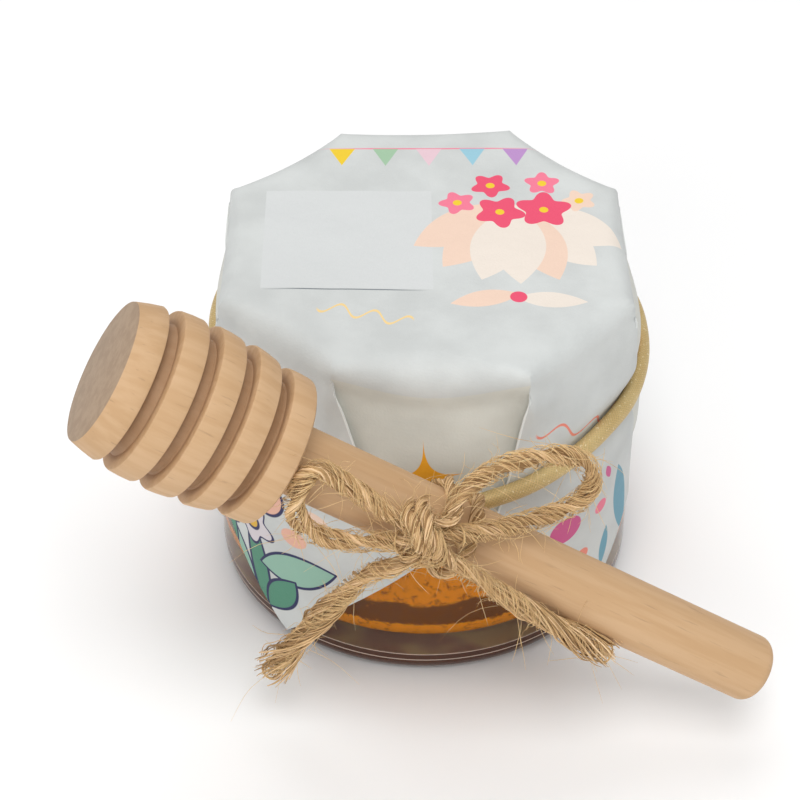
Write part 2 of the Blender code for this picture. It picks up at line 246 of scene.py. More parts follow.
# The elastic cord: azimuth, distance from the axis and height of its centreline.
GOLD_RADIUS = 0.0012
GOLD_STEP = 0.00045
GOLD_SIDES = 24
GOLD_ROUTE = (
    (0.0, 0.0350, 0.0354), (12.0, 0.0333, 0.0363), (24.0, 0.0325, 0.0366),
    (36.0, 0.0317, 0.0371), (50.0, 0.0311, 0.0378), (66.0, 0.0307, 0.0376),
    (84.0, 0.0304, 0.0380), (104.0, 0.0303, 0.0384), (126.0, 0.0303, 0.0386),
    (152.0, 0.0304, 0.0389), (180.0, 0.0304, 0.0392), (208.0, 0.0303, 0.0396),
    (234.0, 0.0298, 0.0400), (258.0, 0.0293, 0.0402), (280.0, 0.0293, 0.0400),
    (302.0, 0.0301, 0.0390), (324.0, 0.0314, 0.0372), (336.0, 0.0325, 0.0362),
    (348.0, 0.0348, 0.0356),
)

# The honey dipper, turned about an axis that passes the knot and rises towards the head.  The head's
# middle and length are measured from its flat face.
DIPPER_AT_KNOT = Vector((0.0001, -0.0399, 0.0401))
DIPPER_PITCH = 32.04
DIPPER_YAW = -0.75
DIPPER_LENGTH = 0.0998
KNOT_TO_HEAD = 0.0471
HANDLE_RADIUS = 0.0046
HANDLE_END_RADIUS = 0.0016
DISC_RADII = (0.0098, 0.0107, 0.0110, 0.0108, 0.0100)
DISC_WIDTH = 0.0034
GROOVE_WIDTH = 0.0018
GROOVE_DEPTH = 0.0021
FACE_RADIUS = 0.0094
HEAD_MIDDLE = 0.012
HEAD_LENGTH = 0.0245

# The twine: two turns round the handle and the elastic cord, a knot, two loops and two loose ends.
TWINE_RADIUS = 0.0012
TWINE_STEP = 0.0003
PLY_GAP = 0.00048
CORE_RADIUS = 0.00044
YARNS = 24
CORE_SIDES, YARN_SIDES, HAIR_SIDES = 9, 5, 3

# At a frayed end the core stops short of the yarns, and these wind more slowly.
FRAY_CORE = 0.80
FRAY_LAY = 3.6

# Where the twine runs.
TOWARDS_VIEW = Vector((0.0, -0.75, 0.66))
WRAP_OFFSETS = (0.0002, 0.0034)
WRAP_GAP = 0.0008
WRAP_POINTS = 720
KNOT_CENTRE = Vector((-0.0001, -0.0485, 0.0460))
KNOT_MIDDLE = Vector((0.0, 0.0012, -0.0006))
KNOT_BINDINGS = (
    ((-0.0022, 0.0037, 0.0020), (-0.0023, 0.0017, 0.0025), (-0.0021, -0.0002, 0.0026),
     (-0.0017, -0.0014, 0.0020), (-0.0011, -0.0021, 0.0006), (-0.0006, -0.0016, -0.0013),
     (-0.0003, -0.0003, -0.0034)),
    ((-0.0005, 0.0040, 0.0022), (-0.0007, 0.0021, 0.0027), (-0.0005, 0.0000, 0.0028),
     (0.0000, -0.0014, 0.0021), (0.0005, -0.0021, 0.0008), (0.0009, -0.0016, -0.0012),
     (0.0009, -0.0003, -0.0034)),
)
TWINE_ROUTES = {
    "bow_loop_right": (
        (0.0029, -0.0469, 0.0481), (0.0046, -0.0449, 0.0505), (0.0086, -0.0422, 0.0514),
        (0.0130, -0.0400, 0.0511), (0.0170, -0.0385, 0.0501), (0.0200, -0.0375, 0.0476),
        (0.0208, -0.0375, 0.0442), (0.0187, -0.0386, 0.0417), (0.0137, -0.0412, 0.0417),
        (0.0080, -0.0448, 0.0433), (0.0036, -0.0473, 0.0448),
    ),
    "bow_loop_left": (
        (-0.0033, -0.0476, 0.0474), (-0.0059, -0.0470, 0.0490), (-0.0090, -0.0465, 0.0515),
        (-0.0122, -0.0463, 0.0543), (-0.0143, -0.0466, 0.0552), (-0.0158, -0.0467, 0.0534),
        (-0.0168, -0.0467, 0.0503), (-0.0163, -0.0466, 0.0468), (-0.0144, -0.0465, 0.0443),
        (-0.0108, -0.0464, 0.0430), (-0.0070, -0.0468, 0.0433), (-0.0038, -0.0478, 0.0442),
    ),
    "bow_end_left": (
        (-0.0026, -0.0489, 0.0422), (-0.0043, -0.0477, 0.0399), (-0.0076, -0.0453, 0.0361),
        (-0.0108, -0.0436, 0.0307), (-0.0141, -0.0420, 0.0245), (-0.0178, -0.0405, 0.0180),
        (-0.0212, -0.0390, 0.0108),
    ),
    "bow_end_right": (
        (0.0022, -0.0490, 0.0421), (0.0037, -0.0483, 0.0402), (0.0061, -0.0475, 0.0371),
        (0.0093, -0.0471, 0.0340), (0.0137, -0.0466, 0.0299), (0.0182, -0.0460, 0.0255),
        (0.0234, -0.0453, 0.0210),
    ),
}

# Of each length of twine: the pitch of its twist, how far its plies open, and how wide its end frays.
TWINE_LAY = {
    "bow_loop_right": (0.0125, 0.00012, 0.0),
    "bow_loop_left": (0.0150, 0.00042, 0.0),
    "bow_end_left": (0.0340, 0.00040, 0.0027),
    "bow_end_right": (0.0300, 0.00022, 0.0014),
}

# The camera, and what it looks at.
CAMERA_PLACE = Vector((-0.00419, -0.26026, 0.25486))
CAMERA_AIM = Vector((-0.00357, 0.0, 0.0256))
CAMERA_LENS = 107.9


class HoneyJarSettings(bpy.types.PropertyGroup):
    """Sizes and colours that a user would change."""

    # The honey's bright zones are painted light.
    honey_colour: bpy.props.FloatVectorProperty(
        name="Honey", description="Colour of the honey's bright zones", subtype="COLOR",
        size=3, default=(1.0, 0.33, 0.0015), min=0, max=1)
    paper_colour: bpy.props.FloatVectorProperty(
        name="Paper", description="Colour of the bare paper", subtype="COLOR",
        size=3, default=(0.59, 0.61, 0.60), min=0, max=1)
    wood_colour: bpy.props.FloatVectorProperty(
        name="Wood", description="Colour of the dipper's wood", subtype="COLOR",
        size=3, default=(0.57, 0.368, 0.202), min=0, max=1)
    gold_colour: bpy.props.FloatVectorProperty(
        name="Gold cord", description="Colour of the elastic cord's thread", subtype="COLOR",
        size=3, default=(0.60, 0.43, 0.18), min=0, max=1)
    jute_colour: bpy.props.FloatVectorProperty(
        name="Jute", description="Colour of the twine", subtype="COLOR",
        size=3, default=(0.65, 0.425, 0.20), min=0, max=1)
    paper_sheet: bpy.props.FloatProperty(
        name="Paper thickness", description="Thickness of the cover's paper",
        default=0.00018, min=0.0001, max=0.0004, unit="LENGTH")
    paper_ripple: bpy.props.FloatProperty(
        name="Paper ripple", description="How far the paper waves in and out",
        default=0.00016, min=0.0, max=0.0005, unit="LENGTH")
    hair_count: bpy.props.IntProperty(
        name="Hairs", description="Stray fibres on each centimetre of twine",
        default=75, min=0, max=120)
    round_sides: bpy.props.IntProperty(
        name="Sides", description="Sides of the turned pieces", default=144, min=48, max=256)


# Small helpers.

def settings():
    return bpy.context.scene.honey_jar


def deselect():
    if bpy.context.object and bpy.context.object.mode != "OBJECT":
        bpy.ops.object.mode_set(mode="OBJECT")
    bpy.ops.object.select_all(action="DESELECT")


def pick(obj):
    deselect()
    obj.select_set(True)
    bpy.context.view_layer.objects.active = obj


def smooth_step(x):
    x = min(max(x, 0.0), 1.0)
    return x * x * (3.0 - 2.0 * x)


def arc(centre_r, centre_z, radius, start, end, steps):
    """Points of an arc in a turned profile, from one angle to another in degrees."""
    points = []
    for i in range(steps + 1):
        turn = math.radians(start + (end - start) * i / steps)
        points.append((centre_r + radius * math.cos(turn), centre_z + radius * math.sin(turn)))
    return points


def turned(name, profile):
    """Extrude a ring along a turned profile about Z and close its two ends."""
    deselect()
    radius, z = profile[0]
    bpy.ops.mesh.primitive_circle_add(vertices=settings().round_sides, radius=radius, location=(0, 0, z))
    obj = bpy.context.object
    obj.name = name
    bpy.ops.object.transform_apply(location=True, rotation=True, scale=True)
    bpy.ops.object.mode_set(mode="EDIT")
    bpy.ops.mesh.select_all(action="SELECT")
    for next_radius, next_z in profile[1:]:
        bpy.ops.mesh.extrude_region_move(TRANSFORM_OT_translate={"value": (0, 0, next_z - z)})
        share = next_radius / radius
        bpy.ops.transform.resize(value=(share, share, 1), center_override=(0, 0, next_z))
        radius, z = next_radius, next_z
    bpy.ops.mesh.select_all(action="SELECT")
    bpy.ops.mesh.fill_holes(sides=0)
    bpy.ops.mesh.normals_make_consistent(inside=False)
    bpy.ops.object.mode_set(mode="OBJECT")
    bpy.ops.object.shade_smooth_by_angle(angle=math.radians(38))
    return obj


def finish_piece(obj, surfaces, slot, *nodes):
    """Give a piece its surface or surfaces, and say what it stands for."""
    skins = [face.material_index for face in obj.data.polygons]
    obj.data.materials.clear()
    for surface in surfaces if isinstance(surfaces, list) else [surfaces]:
        obj.data.materials.append(surface)
    obj.data.polygons.foreach_set("material_index", skins)
    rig.ride(obj, "root")
    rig.slot(obj, slot)
    if nodes:
        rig.replaces(obj, *nodes)
    return obj


class Shell:
    """A surface put together from grids of points, with a flat place for each corner of each face."""

    def __init__(self):
        self.points = []
        self.faces = []
        self.flats = []
        self.skins = []
        self.skin = 0

    def grid(self, rows, flats, closed=False):
        """rows are lists of points of one length, and flats their places on the flat surface."""
        first = len(self.points)
        width = len(rows[0])
        for row in rows:
            self.points.extend(row)
        for i in range(len(rows) - 1):
            for j in range(width if closed else width - 1):
                k = (j + 1) % width
                corners = ((i, j), (i + 1, j), (i + 1, k), (i, k))
                self.faces.append([first + a * width + b for a, b in corners])
                self.skins.append(self.skin)
                if closed and k == 0:
                    corners = ((i, j), (i + 1, j), (i + 1, width), (i, width))
                self.flats.extend(flats[a][b] for a, b in corners)

    def fan(self, centre, ring, flat_centre, flat_ring):
        first = len(self.points)
        self.points.append(centre)
        self.points.extend(ring)
        count = len(ring)
        for i in range(count):
            j = (i + 1) % count
            self.faces.append([first, first + 1 + i, first + 1 + j])
            self.skins.append(self.skin)
            self.flats.extend((flat_centre, flat_ring[i], flat_ring[j]))

    def build(self, name, merge=0.0):
        mesh = bpy.data.meshes.new(name)
        mesh.from_pydata([tuple(p) for p in self.points], [], self.faces)
        layer = mesh.uv_layers.new(name="flat")
        layer.data.foreach_set("uv", [x for flat in self.flats for x in flat])
        mesh.polygons.foreach_set("material_index", self.skins)
        obj = bpy.data.objects.new(name, mesh)
        bpy.context.scene.collection.objects.link(obj)
        pick(obj)
        bpy.ops.object.mode_set(mode="EDIT")
        bpy.ops.mesh.select_all(action="SELECT")
        if merge:
            bpy.ops.mesh.remove_doubles(threshold=merge)
        bpy.ops.mesh.normals_make_consistent(inside=False)
        bpy.ops.object.mode_set(mode="OBJECT")
        bpy.ops.object.shade_smooth()
        return obj


# Routes of cords.  The flat map of a tube runs along it in centimetres, and a tint takes one unit across.

CENTIMETRES = 100.0
TINT_SPAN = 0.98


def smooth_route(points, closed, per_span=12):
    """A Catmull-Rom curve through the points, as closely spaced points."""
    count = len(points)
    spans = count if closed else count - 1
    fine = []
    for i in range(spans):
        if closed:
            a, b, c, d = (points[(i + k) % count] for k in (-1, 0, 1, 2))
        else:
            a, b, c, d = (points[min(max(i + k, 0), count - 1)] for k in (-1, 0, 1, 2))
        for j in range(per_span):
            t = j / per_span
            fine.append(
                0.5 * (2 * b + (c - a) * t + (2 * a - 5 * b + 4 * c - d) * t * t
                       + (3 * b - a - 3 * c + d) * t ** 3)
            )
    if not closed:
        fine.append(points[-1].copy())
    return fine


def spaced(points, spacing, closed):
    """The route again, with points evenly spaced along it."""
    line = points + points[:1] if closed else points
    along = [0.0]
    for a, b in zip(line, line[1:]):
        along.append(along[-1] + (b - a).length)
    count = max(3, round(along[-1] / spacing))
    even, k = [], 0
    for i in range(count if closed else count + 1):
        at = along[-1] * i / count
        while k < len(along) - 2 and along[k + 1] < at:
            k += 1
        share = (at - along[k]) / (along[k + 1] - along[k])
        even.append(line[k].lerp(line[k + 1], share))
    return even


def line_length(points):
    return sum((b - a).length for a, b in zip(points, points[1:]))


def frames_along(points, closed):
    """For each point of a route, its direction and two directions across it that don't twist."""
    count = len(points)
    frames = []
    side = None
    for i in range(count):
        if closed:
            ahead = (points[(i + 1) % count] - points[i - 1]).normalized()
        else:
            ahead = (points[min(i + 1, count - 1)] - points[max(i - 1, 0)]).normalized()
        if side is None:
            side = ahead.orthogonal()
        side = (side - ahead * side.dot(ahead)).normalized()
        frames.append((ahead, side, ahead.cross(side)))
    if closed:
        ahead, side, across = frames[0]
        last_side = frames[-1][1]
        drift = math.atan2(last_side.dot(across), last_side.dot(side))
        for i, (ahead, side, across) in enumerate(frames):
            turn = -drift * i / count
            turned_side = side * math.cos(turn) + across * math.sin(turn)
            frames[i] = (ahead, turned_side, ahead.cross(turned_side))
    return frames


def add_tube(shell, points, radii, sides, closed=False, tint=0):
    """A tube along points.  Its flat map runs round and along it, and the whole number tint marks it."""
    frames = frames_along(points, closed)
    rows, flats = [], []
    along = 0.0
    for i, point in enumerate(points):
        if i:
            along += (point - points[i - 1]).length
        ahead, side, across = frames[i]
        row, flat = [], []
        for j in range(sides + 1):
            turn = math.tau * j / sides
            if j < sides:
                row.append(point + (side * math.cos(turn) + across * math.sin(turn)) * radii[i])
            flat.append((TINT_SPAN * j / sides + tint, along * CENTIMETRES))
        rows.append(row)
        flats.append(flat)
    if closed:
        rows.append(rows[0])
        along += (points[0] - points[-1]).length
        flats.append([(u, along * CENTIMETRES) for u, _ in flats[0]])
    shell.grid(rows, flats, closed=True)
    if not closed:
        for row, flat, point in ((rows[0], flats[0], points[0]), (rows[-1], flats[-1], points[-1])):
            shell.fan(point, row, flat[0], flat)


# Shader helpers.

class Nodes:
    """Adds nodes to a tree and links what they are given."""

    def __init__(self, tree):
        self.tree = tree

    def put(self, socket, value):
        if isinstance(value, bpy.types.NodeSocket):
            self.tree.links.new(value, socket)
        elif value is not None:
            socket.default_value = value

    def add(self, kind, inputs=(), **facts):
        node = self.tree.nodes.new(kind)
        for name, value in facts.items():
            setattr(node, name, value)
        for name, value in dict(inputs).items():
            self.put(node.inputs[name], value)
        return node

    def math(self, operation, a, b=None, c=None, clamp=False):
        node = self.add("ShaderNodeMath", operation=operation, use_clamp=clamp)
        for socket, value in zip(node.inputs, (a, b, c)):
            self.put(socket, value)
        return node.outputs[0]

    def mix(self, share, a, b, blend="MIX"):
        node = self.add("ShaderNodeMix", data_type="RGBA", blend_type=blend)
        for index, value in ((0, share), (6, a), (7, b)):
            if isinstance(value, tuple) and len(value) == 3:
                value = (*value, 1.0)
            self.put(node.inputs[index], value)
        return node.outputs[2]

    def ramp(self, share, low, high):
        """Share from 0 at low to 1 at high."""
        node = self.add("ShaderNodeMapRange", interpolation_type="SMOOTHSTEP")
        self.put(node.inputs["Value"], share)
        node.inputs["From Min"].default_value = low
        node.inputs["From Max"].default_value = high
        return node.outputs["Result"]

    def group(self, tree, **inputs):
        node = self.add("ShaderNodeGroup", node_tree=tree)
        for name, value in inputs.items():
            self.put(node.inputs[name.replace("_", " ").capitalize()], value)
        return node.outputs

    def reach(self, x, y):
        """The distance of a place from the origin."""
        return self.math("SQRT", self.math("ADD", self.math("MULTIPLY", x, x), self.math("MULTIPLY", y, y)))

    def noise(self, vector, scale, detail, roughness=None):
        inputs = {"Vector": vector, "Scale": scale, "Detail": detail, "Roughness": roughness}
        return self.add("ShaderNodeTexNoise", inputs).outputs["Fac"]

    def bump(self, skin, strength, distance, height):
        node = self.add("ShaderNodeBump", {"Strength": strength, "Distance": distance, "Height": height})
        self.put(skin.inputs["Normal"], node.outputs[0])


def new_group(name, inputs, outputs):
    """An empty shader node group with those sockets, and its nodes."""
    tree = bpy.data.node_groups.new(name, "ShaderNodeTree")
    for label, kind, default in inputs:
        socket = tree.interface.new_socket(label, in_out="INPUT", socket_type=kind)
        if default is not None:
            socket.default_value = default
    for label, kind in outputs:
        tree.interface.new_socket(label, in_out="OUTPUT", socket_type=kind)
    nodes = Nodes(tree)
    return tree, nodes, nodes.add("NodeGroupInput").outputs, nodes.add("NodeGroupOutput").inputs


def grain_group():
    """Streaks that run along Z of the vector: a broad figure and fine fibres."""
    name = "Fibre grain"
    if name in bpy.data.node_groups:
        return bpy.data.node_groups[name]
    tree, n, given, out = new_group(
        name,
        (("Vector", "NodeSocketVector", None), ("Scale", "NodeSocketFloat", 400.0),
         ("Stretch", "NodeSocketFloat", 0.05)),
        (("Broad", "NodeSocketFloat"), ("Fine", "NodeSocketFloat")),
    )
    squeeze = n.add("ShaderNodeCombineXYZ", {"X": 1.0, "Y": 1.0, "Z": given["Stretch"]}).outputs[0]
    place = n.add("ShaderNodeVectorMath", operation="MULTIPLY")
    n.put(place.inputs[0], given["Vector"])
    n.put(place.inputs[1], squeeze)
    place = place.outputs[0]
    n.put(out["Broad"], n.noise(place, n.math("MULTIPLY", given["Scale"], 0.3), 3.0, 0.55))
    n.put(out["Fine"], n.noise(place, given["Scale"], 4.0))
    return tree


SOCKETS = {
    "metallic": "Metallic", "roughness": "Roughness", "ior": "IOR",
    "specular": "Specular IOR Level", "transmission": "Transmission Weight",
}


def new_material(name, colour=None, **values):
    """A material with these values set on its shader's sockets, its nodes and its shader."""
    surface = bpy.data.materials.new(name)
    surface.use_nodes = True
    skin = surface.node_tree.nodes["Principled BSDF"]
    if colour:
        skin.inputs["Base Color"].default_value = (*colour, 1)
    for value_name, value in values.items():
        skin.inputs[SOCKETS[value_name]].default_value = value
    return surface, Nodes(surface.node_tree), skin


def times(colour, *factors):
    """A colour with its channels multiplied, all by one factor or each by its own."""
    factors = factors * 3 if len(factors) == 1 else factors
    return tuple(min(1.0, c * k) for c, k in zip(colour, factors))


def object_place(nodes):
    return nodes.add("ShaderNodeTexCoord").outputs["Object"]


def flat_place(nodes):
    return nodes.add("ShaderNodeUVMap", uv_map="flat").outputs["UV"]


# The printed design of the paper, in millimetres on the flat sheet: x to the right, y to the back.

MILLIMETRES = 1000.0
PRINT_RIM = 27.8
OUTLINE = 0.50
PRINT_BLUR = 0.10

CRIMSON = (0.78, 0.075, 0.155)
PINK = (0.84, 0.19, 0.29)
CORAL = (0.80, 0.24, 0.17)
PEACH = (0.81, 0.60, 0.48)
APRICOT = (0.78, 0.44, 0.33)
CREAM = (0.79, 0.71, 0.63)
YELLOW = (0.82, 0.57, 0.02)
MUSTARD = (0.70, 0.42, 0.04)
ORANGE = (0.80, 0.36, 0.02)
BUTTER = (0.85, 0.62, 0.28)
MAGENTA = (0.60, 0.09, 0.26)
TEAL = (0.13, 0.33, 0.43)
SKY = (0.30, 0.55, 0.66)
GREEN = (0.08, 0.26, 0.17)
SAGE = (0.28, 0.48, 0.38)
MINT = (0.34, 0.52, 0.35)
LILAC = (0.66, 0.61, 0.64)
PURPLE = (0.47, 0.26, 0.55)
ROSE = (0.75, 0.54, 0.60)
NAVY = (0.018, 0.020, 0.09)
INK_GREY = (0.16, 0.18, 0.20)
CARD_WHITE = (0.628, 0.645, 0.642)

# A motif is a shape, its x, y, angle, half width and half height, its colour and its outline's.
# In these two tables its place is the distance across a corner flap and the one down from the rim,
# and its angle turns from across the flap towards its tip.
SPRIG = (
    ("leaf", 0.2, 41.0, 78, 9.5, 1.5, GREEN, NAVY),
    ("leaf", 6.4, 37.6, -24, 6.2, 2.7, SAGE, NAVY),
    ("leaf", -4.6, 42.4, 54, 7.4, 2.3, SAGE, NAVY),
    ("leaf", 4.3, 44.0, 118, 4.4, 2.0, GREEN, NAVY),
    ("disc", -4.2, 28.6, 0, 2.5, 3.3, LILAC, NAVY),
    ("disc", 1.6, 26.6, 20, 2.3, 3.0, APRICOT, NAVY),
    ("disc", -6.6, 34.6, -24, 2.2, 3.1, LILAC, NAVY),
    ("blossom", -1.4, 33.4, 10, 4.0, 4.0, LILAC, NAVY),
    ("disc", -1.4, 33.4, 0, 1.3, 1.3, MUSTARD, NAVY),
    ("disc", 6.0, 31.2, 0, 2.0, 1.6, APRICOT, None),
    ("leaf", -7.6, 37.6, 64, 6.0, 1.8, GREEN, NAVY),
    ("disc", 8.8, 26.6, 30, 2.4, 2.0, PEACH, None),
)
CONFETTI = (
    ("wave", 0.0, 14.2, 24, 9.5, 1.3, CORAL, None),
    ("leaf", 9.6, 35.0, 76, 8.4, 1.9, TEAL, None),
    ("leaf", 5.6, 40.5, 96, 3.6, 1.0, TEAL, None),
    ("disc", -2.4, 31.4, 0, 2.6, 2.3, MAGENTA, None),
    ("leaf", 2.0, 26.8, 80, 1.9, 0.9, YELLOW, None),
    ("leaf", -6.8, 25.6, 60, 1.5, 0.7, TEAL, None),
    ("disc", 4.0, 31.6, 0, 1.2, 1.2, PINK, None),
    ("leaf", 5.0, 26.0, 70, 1.5, 0.6, MAGENTA, None),
    ("disc", -5.4, 36.2, 0, 0.9, 0.9, YELLOW, None),
    ("disc", 0.8, 38.4, 0, 1.3, 1.2, CORAL, None),
    ("leaf", -2.6, 40.4, 85, 1.6, 0.7, SKY, None),
)


def shape_group(name):
    """A mask of one unit shape, 1 inside it and 0 outside, for the motifs of the print."""
    label = "Print " + name
    if label in bpy.data.node_groups:
        return bpy.data.node_groups[label]
    tree, n, given, out = new_group(
        label, (("Vector", "NodeSocketVector", None), ("Edge", "NodeSocketFloat", 0.05)),
        (("Mask", "NodeSocketFloat"),),
    )
    split = n.add("ShaderNodeSeparateXYZ", {"Vector": given["Vector"]}).outputs
    x, y = split["X"], split["Y"]
    m = n.math
    wide, high = m("ABSOLUTE", x), m("ABSOLUTE", y)
    if name == "disc":
        far = n.reach(x, y)
    elif name == "leaf":
        belly = m("MAXIMUM", m("SUBTRACT", 1.0, m("MULTIPLY", x, x)), 0.001)
        past_tip = m("MULTIPLY", m("GREATER_THAN", wide, 1.0), 9.0)
        far = m("ADD", m("DIVIDE", high, belly), past_tip)
    elif name == "blossom":
        petals = m("COSINE", m("MULTIPLY", m("ARCTAN2", y, x), 5.0))
        far = m("DIVIDE", n.reach(x, y), m("MULTIPLY_ADD", petals, 0.17, 0.83))
    elif name == "star":
        far = m("POWER", m("ADD", m("POWER", wide, 0.42), m("POWER", high, 0.42)), 2.0)
    elif name == "wave":
        bend = m("MULTIPLY", m("SINE", m("MULTIPLY", x, 9.0)), 0.72)
        away = m("DIVIDE", m("ABSOLUTE", m("SUBTRACT", y, bend)), 0.16)
        far = m("MAXIMUM", away, wide)
    elif name == "pennant":
        slope = m("ADD", wide, m("MULTIPLY", m("SUBTRACT", 1.0, y), 0.5))
        far = m("MAXIMUM", slope, y)
    else:
        far = m("MAXIMUM", wide, high)
    n.put(out["Mask"], m("DIVIDE", m("SUBTRACT", 1.0, far), given["Edge"], clamp=True))
    return tree


def on_flap(azimuth, lateral, drop):
    """A place on the flat sheet from a panel's azimuth, a distance across it and one down from the rim."""
    turn = math.radians(azimuth)
    reach = PRINT_RIM + drop
    return (math.sin(turn) * reach + math.cos(turn) * lateral,
            -math.cos(turn) * reach + math.sin(turn) * lateral)


def flap_motifs(table, azimuth, mirror):
    """A table's motifs laid down a corner flap; mirror is 1, or -1 to turn them over."""
    motifs = []
    for shape, lateral, drop, angle, *look in table:
        motifs.append((shape, *on_flap(azimuth, lateral * mirror, drop), azimuth - angle * mirror, *look))
    return motifs


def posy_motifs(x, y, size):
    """A low spray: broad pale leaves that fan out, with blossoms across them."""
    motifs = []
    for angle, colour in (
        (212, PEACH), (328, CREAM), (232, PEACH), (308, CREAM), (252, CREAM), (288, PEACH), (270, CREAM),
    ):
        turn = math.radians(angle)
        leaf_x = x + 0.86 * size * math.cos(turn)
        leaf_y = y + 0.16 * size + 0.92 * size * math.sin(turn)
        motifs.append(("leaf", leaf_x, leaf_y, angle, 0.90 * size, 0.40 * size, colour, None))
    for dx, dy, share, colour in (
        (-0.85, 0.20, 0.28, PINK), (0.92, 0.26, 0.26, PEACH), (0.40, 0.68, 0.27, PINK),
        (-0.36, 0.62, 0.30, CRIMSON), (-0.24, -0.02, 0.38, CRIMSON), (0.40, 0.06, 0.42, CRIMSON),
    ):
        place = (x + dx * size, y + dy * size)
        motifs.append(("blossom", *place, 40 * dx, share * size, share * size, colour, None))
        motifs.append(("disc", *place, 0, 0.07 * size, 0.07 * size, YELLOW, None))
    return motifs


def top_motifs():
    """The cover's top: a string of pennants, a bare card panel, a posy and its bow."""
    motifs = [("box", 0.8, 21.6, 0, 16.4, 0.17, PINK, None)]
    for i, colour in enumerate((YELLOW, MINT, ROSE, SKY, PURPLE)):
        motifs.append(("pennant", -11.8 + 6.2 * i, 19.5, 0, 1.9, 2.1, colour, None))
    return motifs + [
        ("box", -10.7, 0.7, 0, 11.6, 10.9, CARD_WHITE, None),
        ("box", -10.9, -10.4, 0, 11.2, 0.14, INK_GREY, None),
        ("wave", -8.2, -15.6, -14, 6.6, 1.5, BUTTER, None),
        *posy_motifs(12.6, 6.8, 9.6),
        ("leaf", 7.8, -12.2, 12, 4.8, 1.7, PEACH, None),
        ("leaf", 16.6, -12.6, -8, 4.8, 1.7, CREAM, None),
        ("disc", 12.2, -11.9, 0, 1.2, 1.2, CRIMSON, None),
    ]


def side_motifs():
    """A star on each side panel."""
    return [("star", *on_flap(azimuth, -1.2, 13.8), azimuth, 4.9, 6.0, ORANGE, None)
            for azimuth in (0, 90, 180, -90)]


def printed_colour(nodes, place, bare, motifs):
    """The bare paper's colour with the motifs printed over it."""
    colour = bare
    for shape, x, y, angle, wide, high, ink, outline in motifs:
        for grow, tint in ((OUTLINE, outline), (0.0, ink)):
            if tint is None:
                continue
            local = nodes.add("ShaderNodeMapping", {
                "Vector": place, "Location": (x, y, 0), "Rotation": (0, 0, math.radians(angle)),
                "Scale": (wide + grow, high + grow, 1)}, vector_type="TEXTURE")
            edge = min(0.5, PRINT_BLUR / min(wide, high))
            mask = nodes.group(shape_group(shape), vector=local.outputs[0], edge=edge)["Mask"]
            colour = nodes.mix(mask, colour, tint)
    return colour


def paper_material(name, motifs, tone=(1.0, 1.0, 1.0)):
    surface, n, skin = new_material(name, roughness=0.52, specular=0.35)
    side = SHEET_SIDE * MILLIMETRES
    sheet = n.add("ShaderNodeMapping", {
        "Vector": flat_place(n), "Location": (-side / 2, -side / 2, 0), "Scale": (side, side, 1)}).outputs[0]
    base = times(settings().paper_colour, *tone)
    clouds = n.ramp(n.noise(sheet, 0.11, 4.0), 0.30, 0.68)
    bare = n.mix(clouds, times(base, 0.93), times(base, 1.05))
    n.put(skin.inputs["Base Color"], printed_colour(n, sheet, bare, motifs))
    tooth, dents = n.noise(sheet, 3.2, 5.0), n.noise(sheet, 0.20, 2.0)
    n.bump(skin, 0.35, 0.00012, n.math("MULTIPLY_ADD", dents, 5.0, tooth))
    return surface


def fold_highlight_material():
    """The turned edge of a fold, a little whiter than the sheet: partly its whiter bent fibres, and partly a painted
    highlight where the edge catches the light.
    """
    return new_material("paper fold, painted highlight", times(settings().paper_colour, 1.28), roughness=0.6, specular=0.35)[0]


def glass_material():
    return new_material(
        "jar glass", (0.965, 0.975, 0.965), roughness=0.02, ior=1.30, specular=0.12, transmission=1.0)[0]


def honey_material():
    """Amber with painted light and shade: bright bands of painted light under the shoulder and along the heel, and a
    dull, flecked zone of painted shade between.
    """
    surface, n, skin = new_material("honey", roughness=0.25, ior=1.49, specular=0.02, transmission=0.05)
    place = object_place(n)
    height = n.add("ShaderNodeSeparateXYZ", {"Vector": place}).outputs["Z"]
    flecks = n.noise(place, 900.0, 5.0, 0.7)
    cloud = n.noise(place, 260.0, 4.0, 0.65)
    amber = tuple(settings().honey_colour)
    # The dull colour is painted shade, the dark inside of the wrapped jar seen through the honey; the bright amber is
    # painted light, refracted in under the shoulder and up from the floor at the heel.
    dull = times(amber, 0.205, 0.185, 2.0)
    deep = times(amber, 0.50, 0.40, 0.6)
    bright = n.mix(n.ramp(flecks, 0.50, 0.68), amber, deep)
    between = n.mix(n.math("MULTIPLY", n.ramp(flecks, 0.58, 0.72), 0.5), dull, amber)
    uneven = n.math("MULTIPLY_ADD", n.math("SUBTRACT", cloud, 0.5), 0.0050, height)
    colour = n.mix(n.ramp(uneven, *PAINTED_LIGHT_ABOVE), between, bright)
    ragged = n.math("MULTIPLY_ADD", n.math("SUBTRACT", flecks, 0.5), 0.0022, height)
    n.put(skin.inputs["Base Color"], n.mix(n.ramp(ragged, *PAINTED_LIGHT_BELOW), colour, bright))
    return surface


def painted_base_material():
    """The stippled underside of the jar, its colour a painted gold highlight over a painted reflected brown, which
    shows as a dull gold band through its heel.
    """
    surface, n, skin = new_material("stippled glass base, painted highlight", roughness=0.35, ior=1.48, transmission=0.05)
    # The gold is a painted highlight and the brown a painted reflection.
    stipple = n.ramp(n.noise(object_place(n), 130.0, 1.0), 0.38, 0.62)
    n.put(skin.inputs["Base Color"], n.mix(stipple, (0.70, 0.50, 0.38), (1.0, 0.88, 0.52)))
    return surface


def painted_foot_material(name, colour):
    """The thick glass round the foot, its colour painted: painted shade for the dark of the honey that shows through
    it, or a pale painted highlight line.
    """
    return new_material(name, colour, roughness=0.10, ior=1.48, specular=0.25, transmission=0.2)[0]


def lid_material():
    return new_material("gold lacquer", (0.80, 0.60, 0.25), metallic=1.0, roughness=0.32)[0]


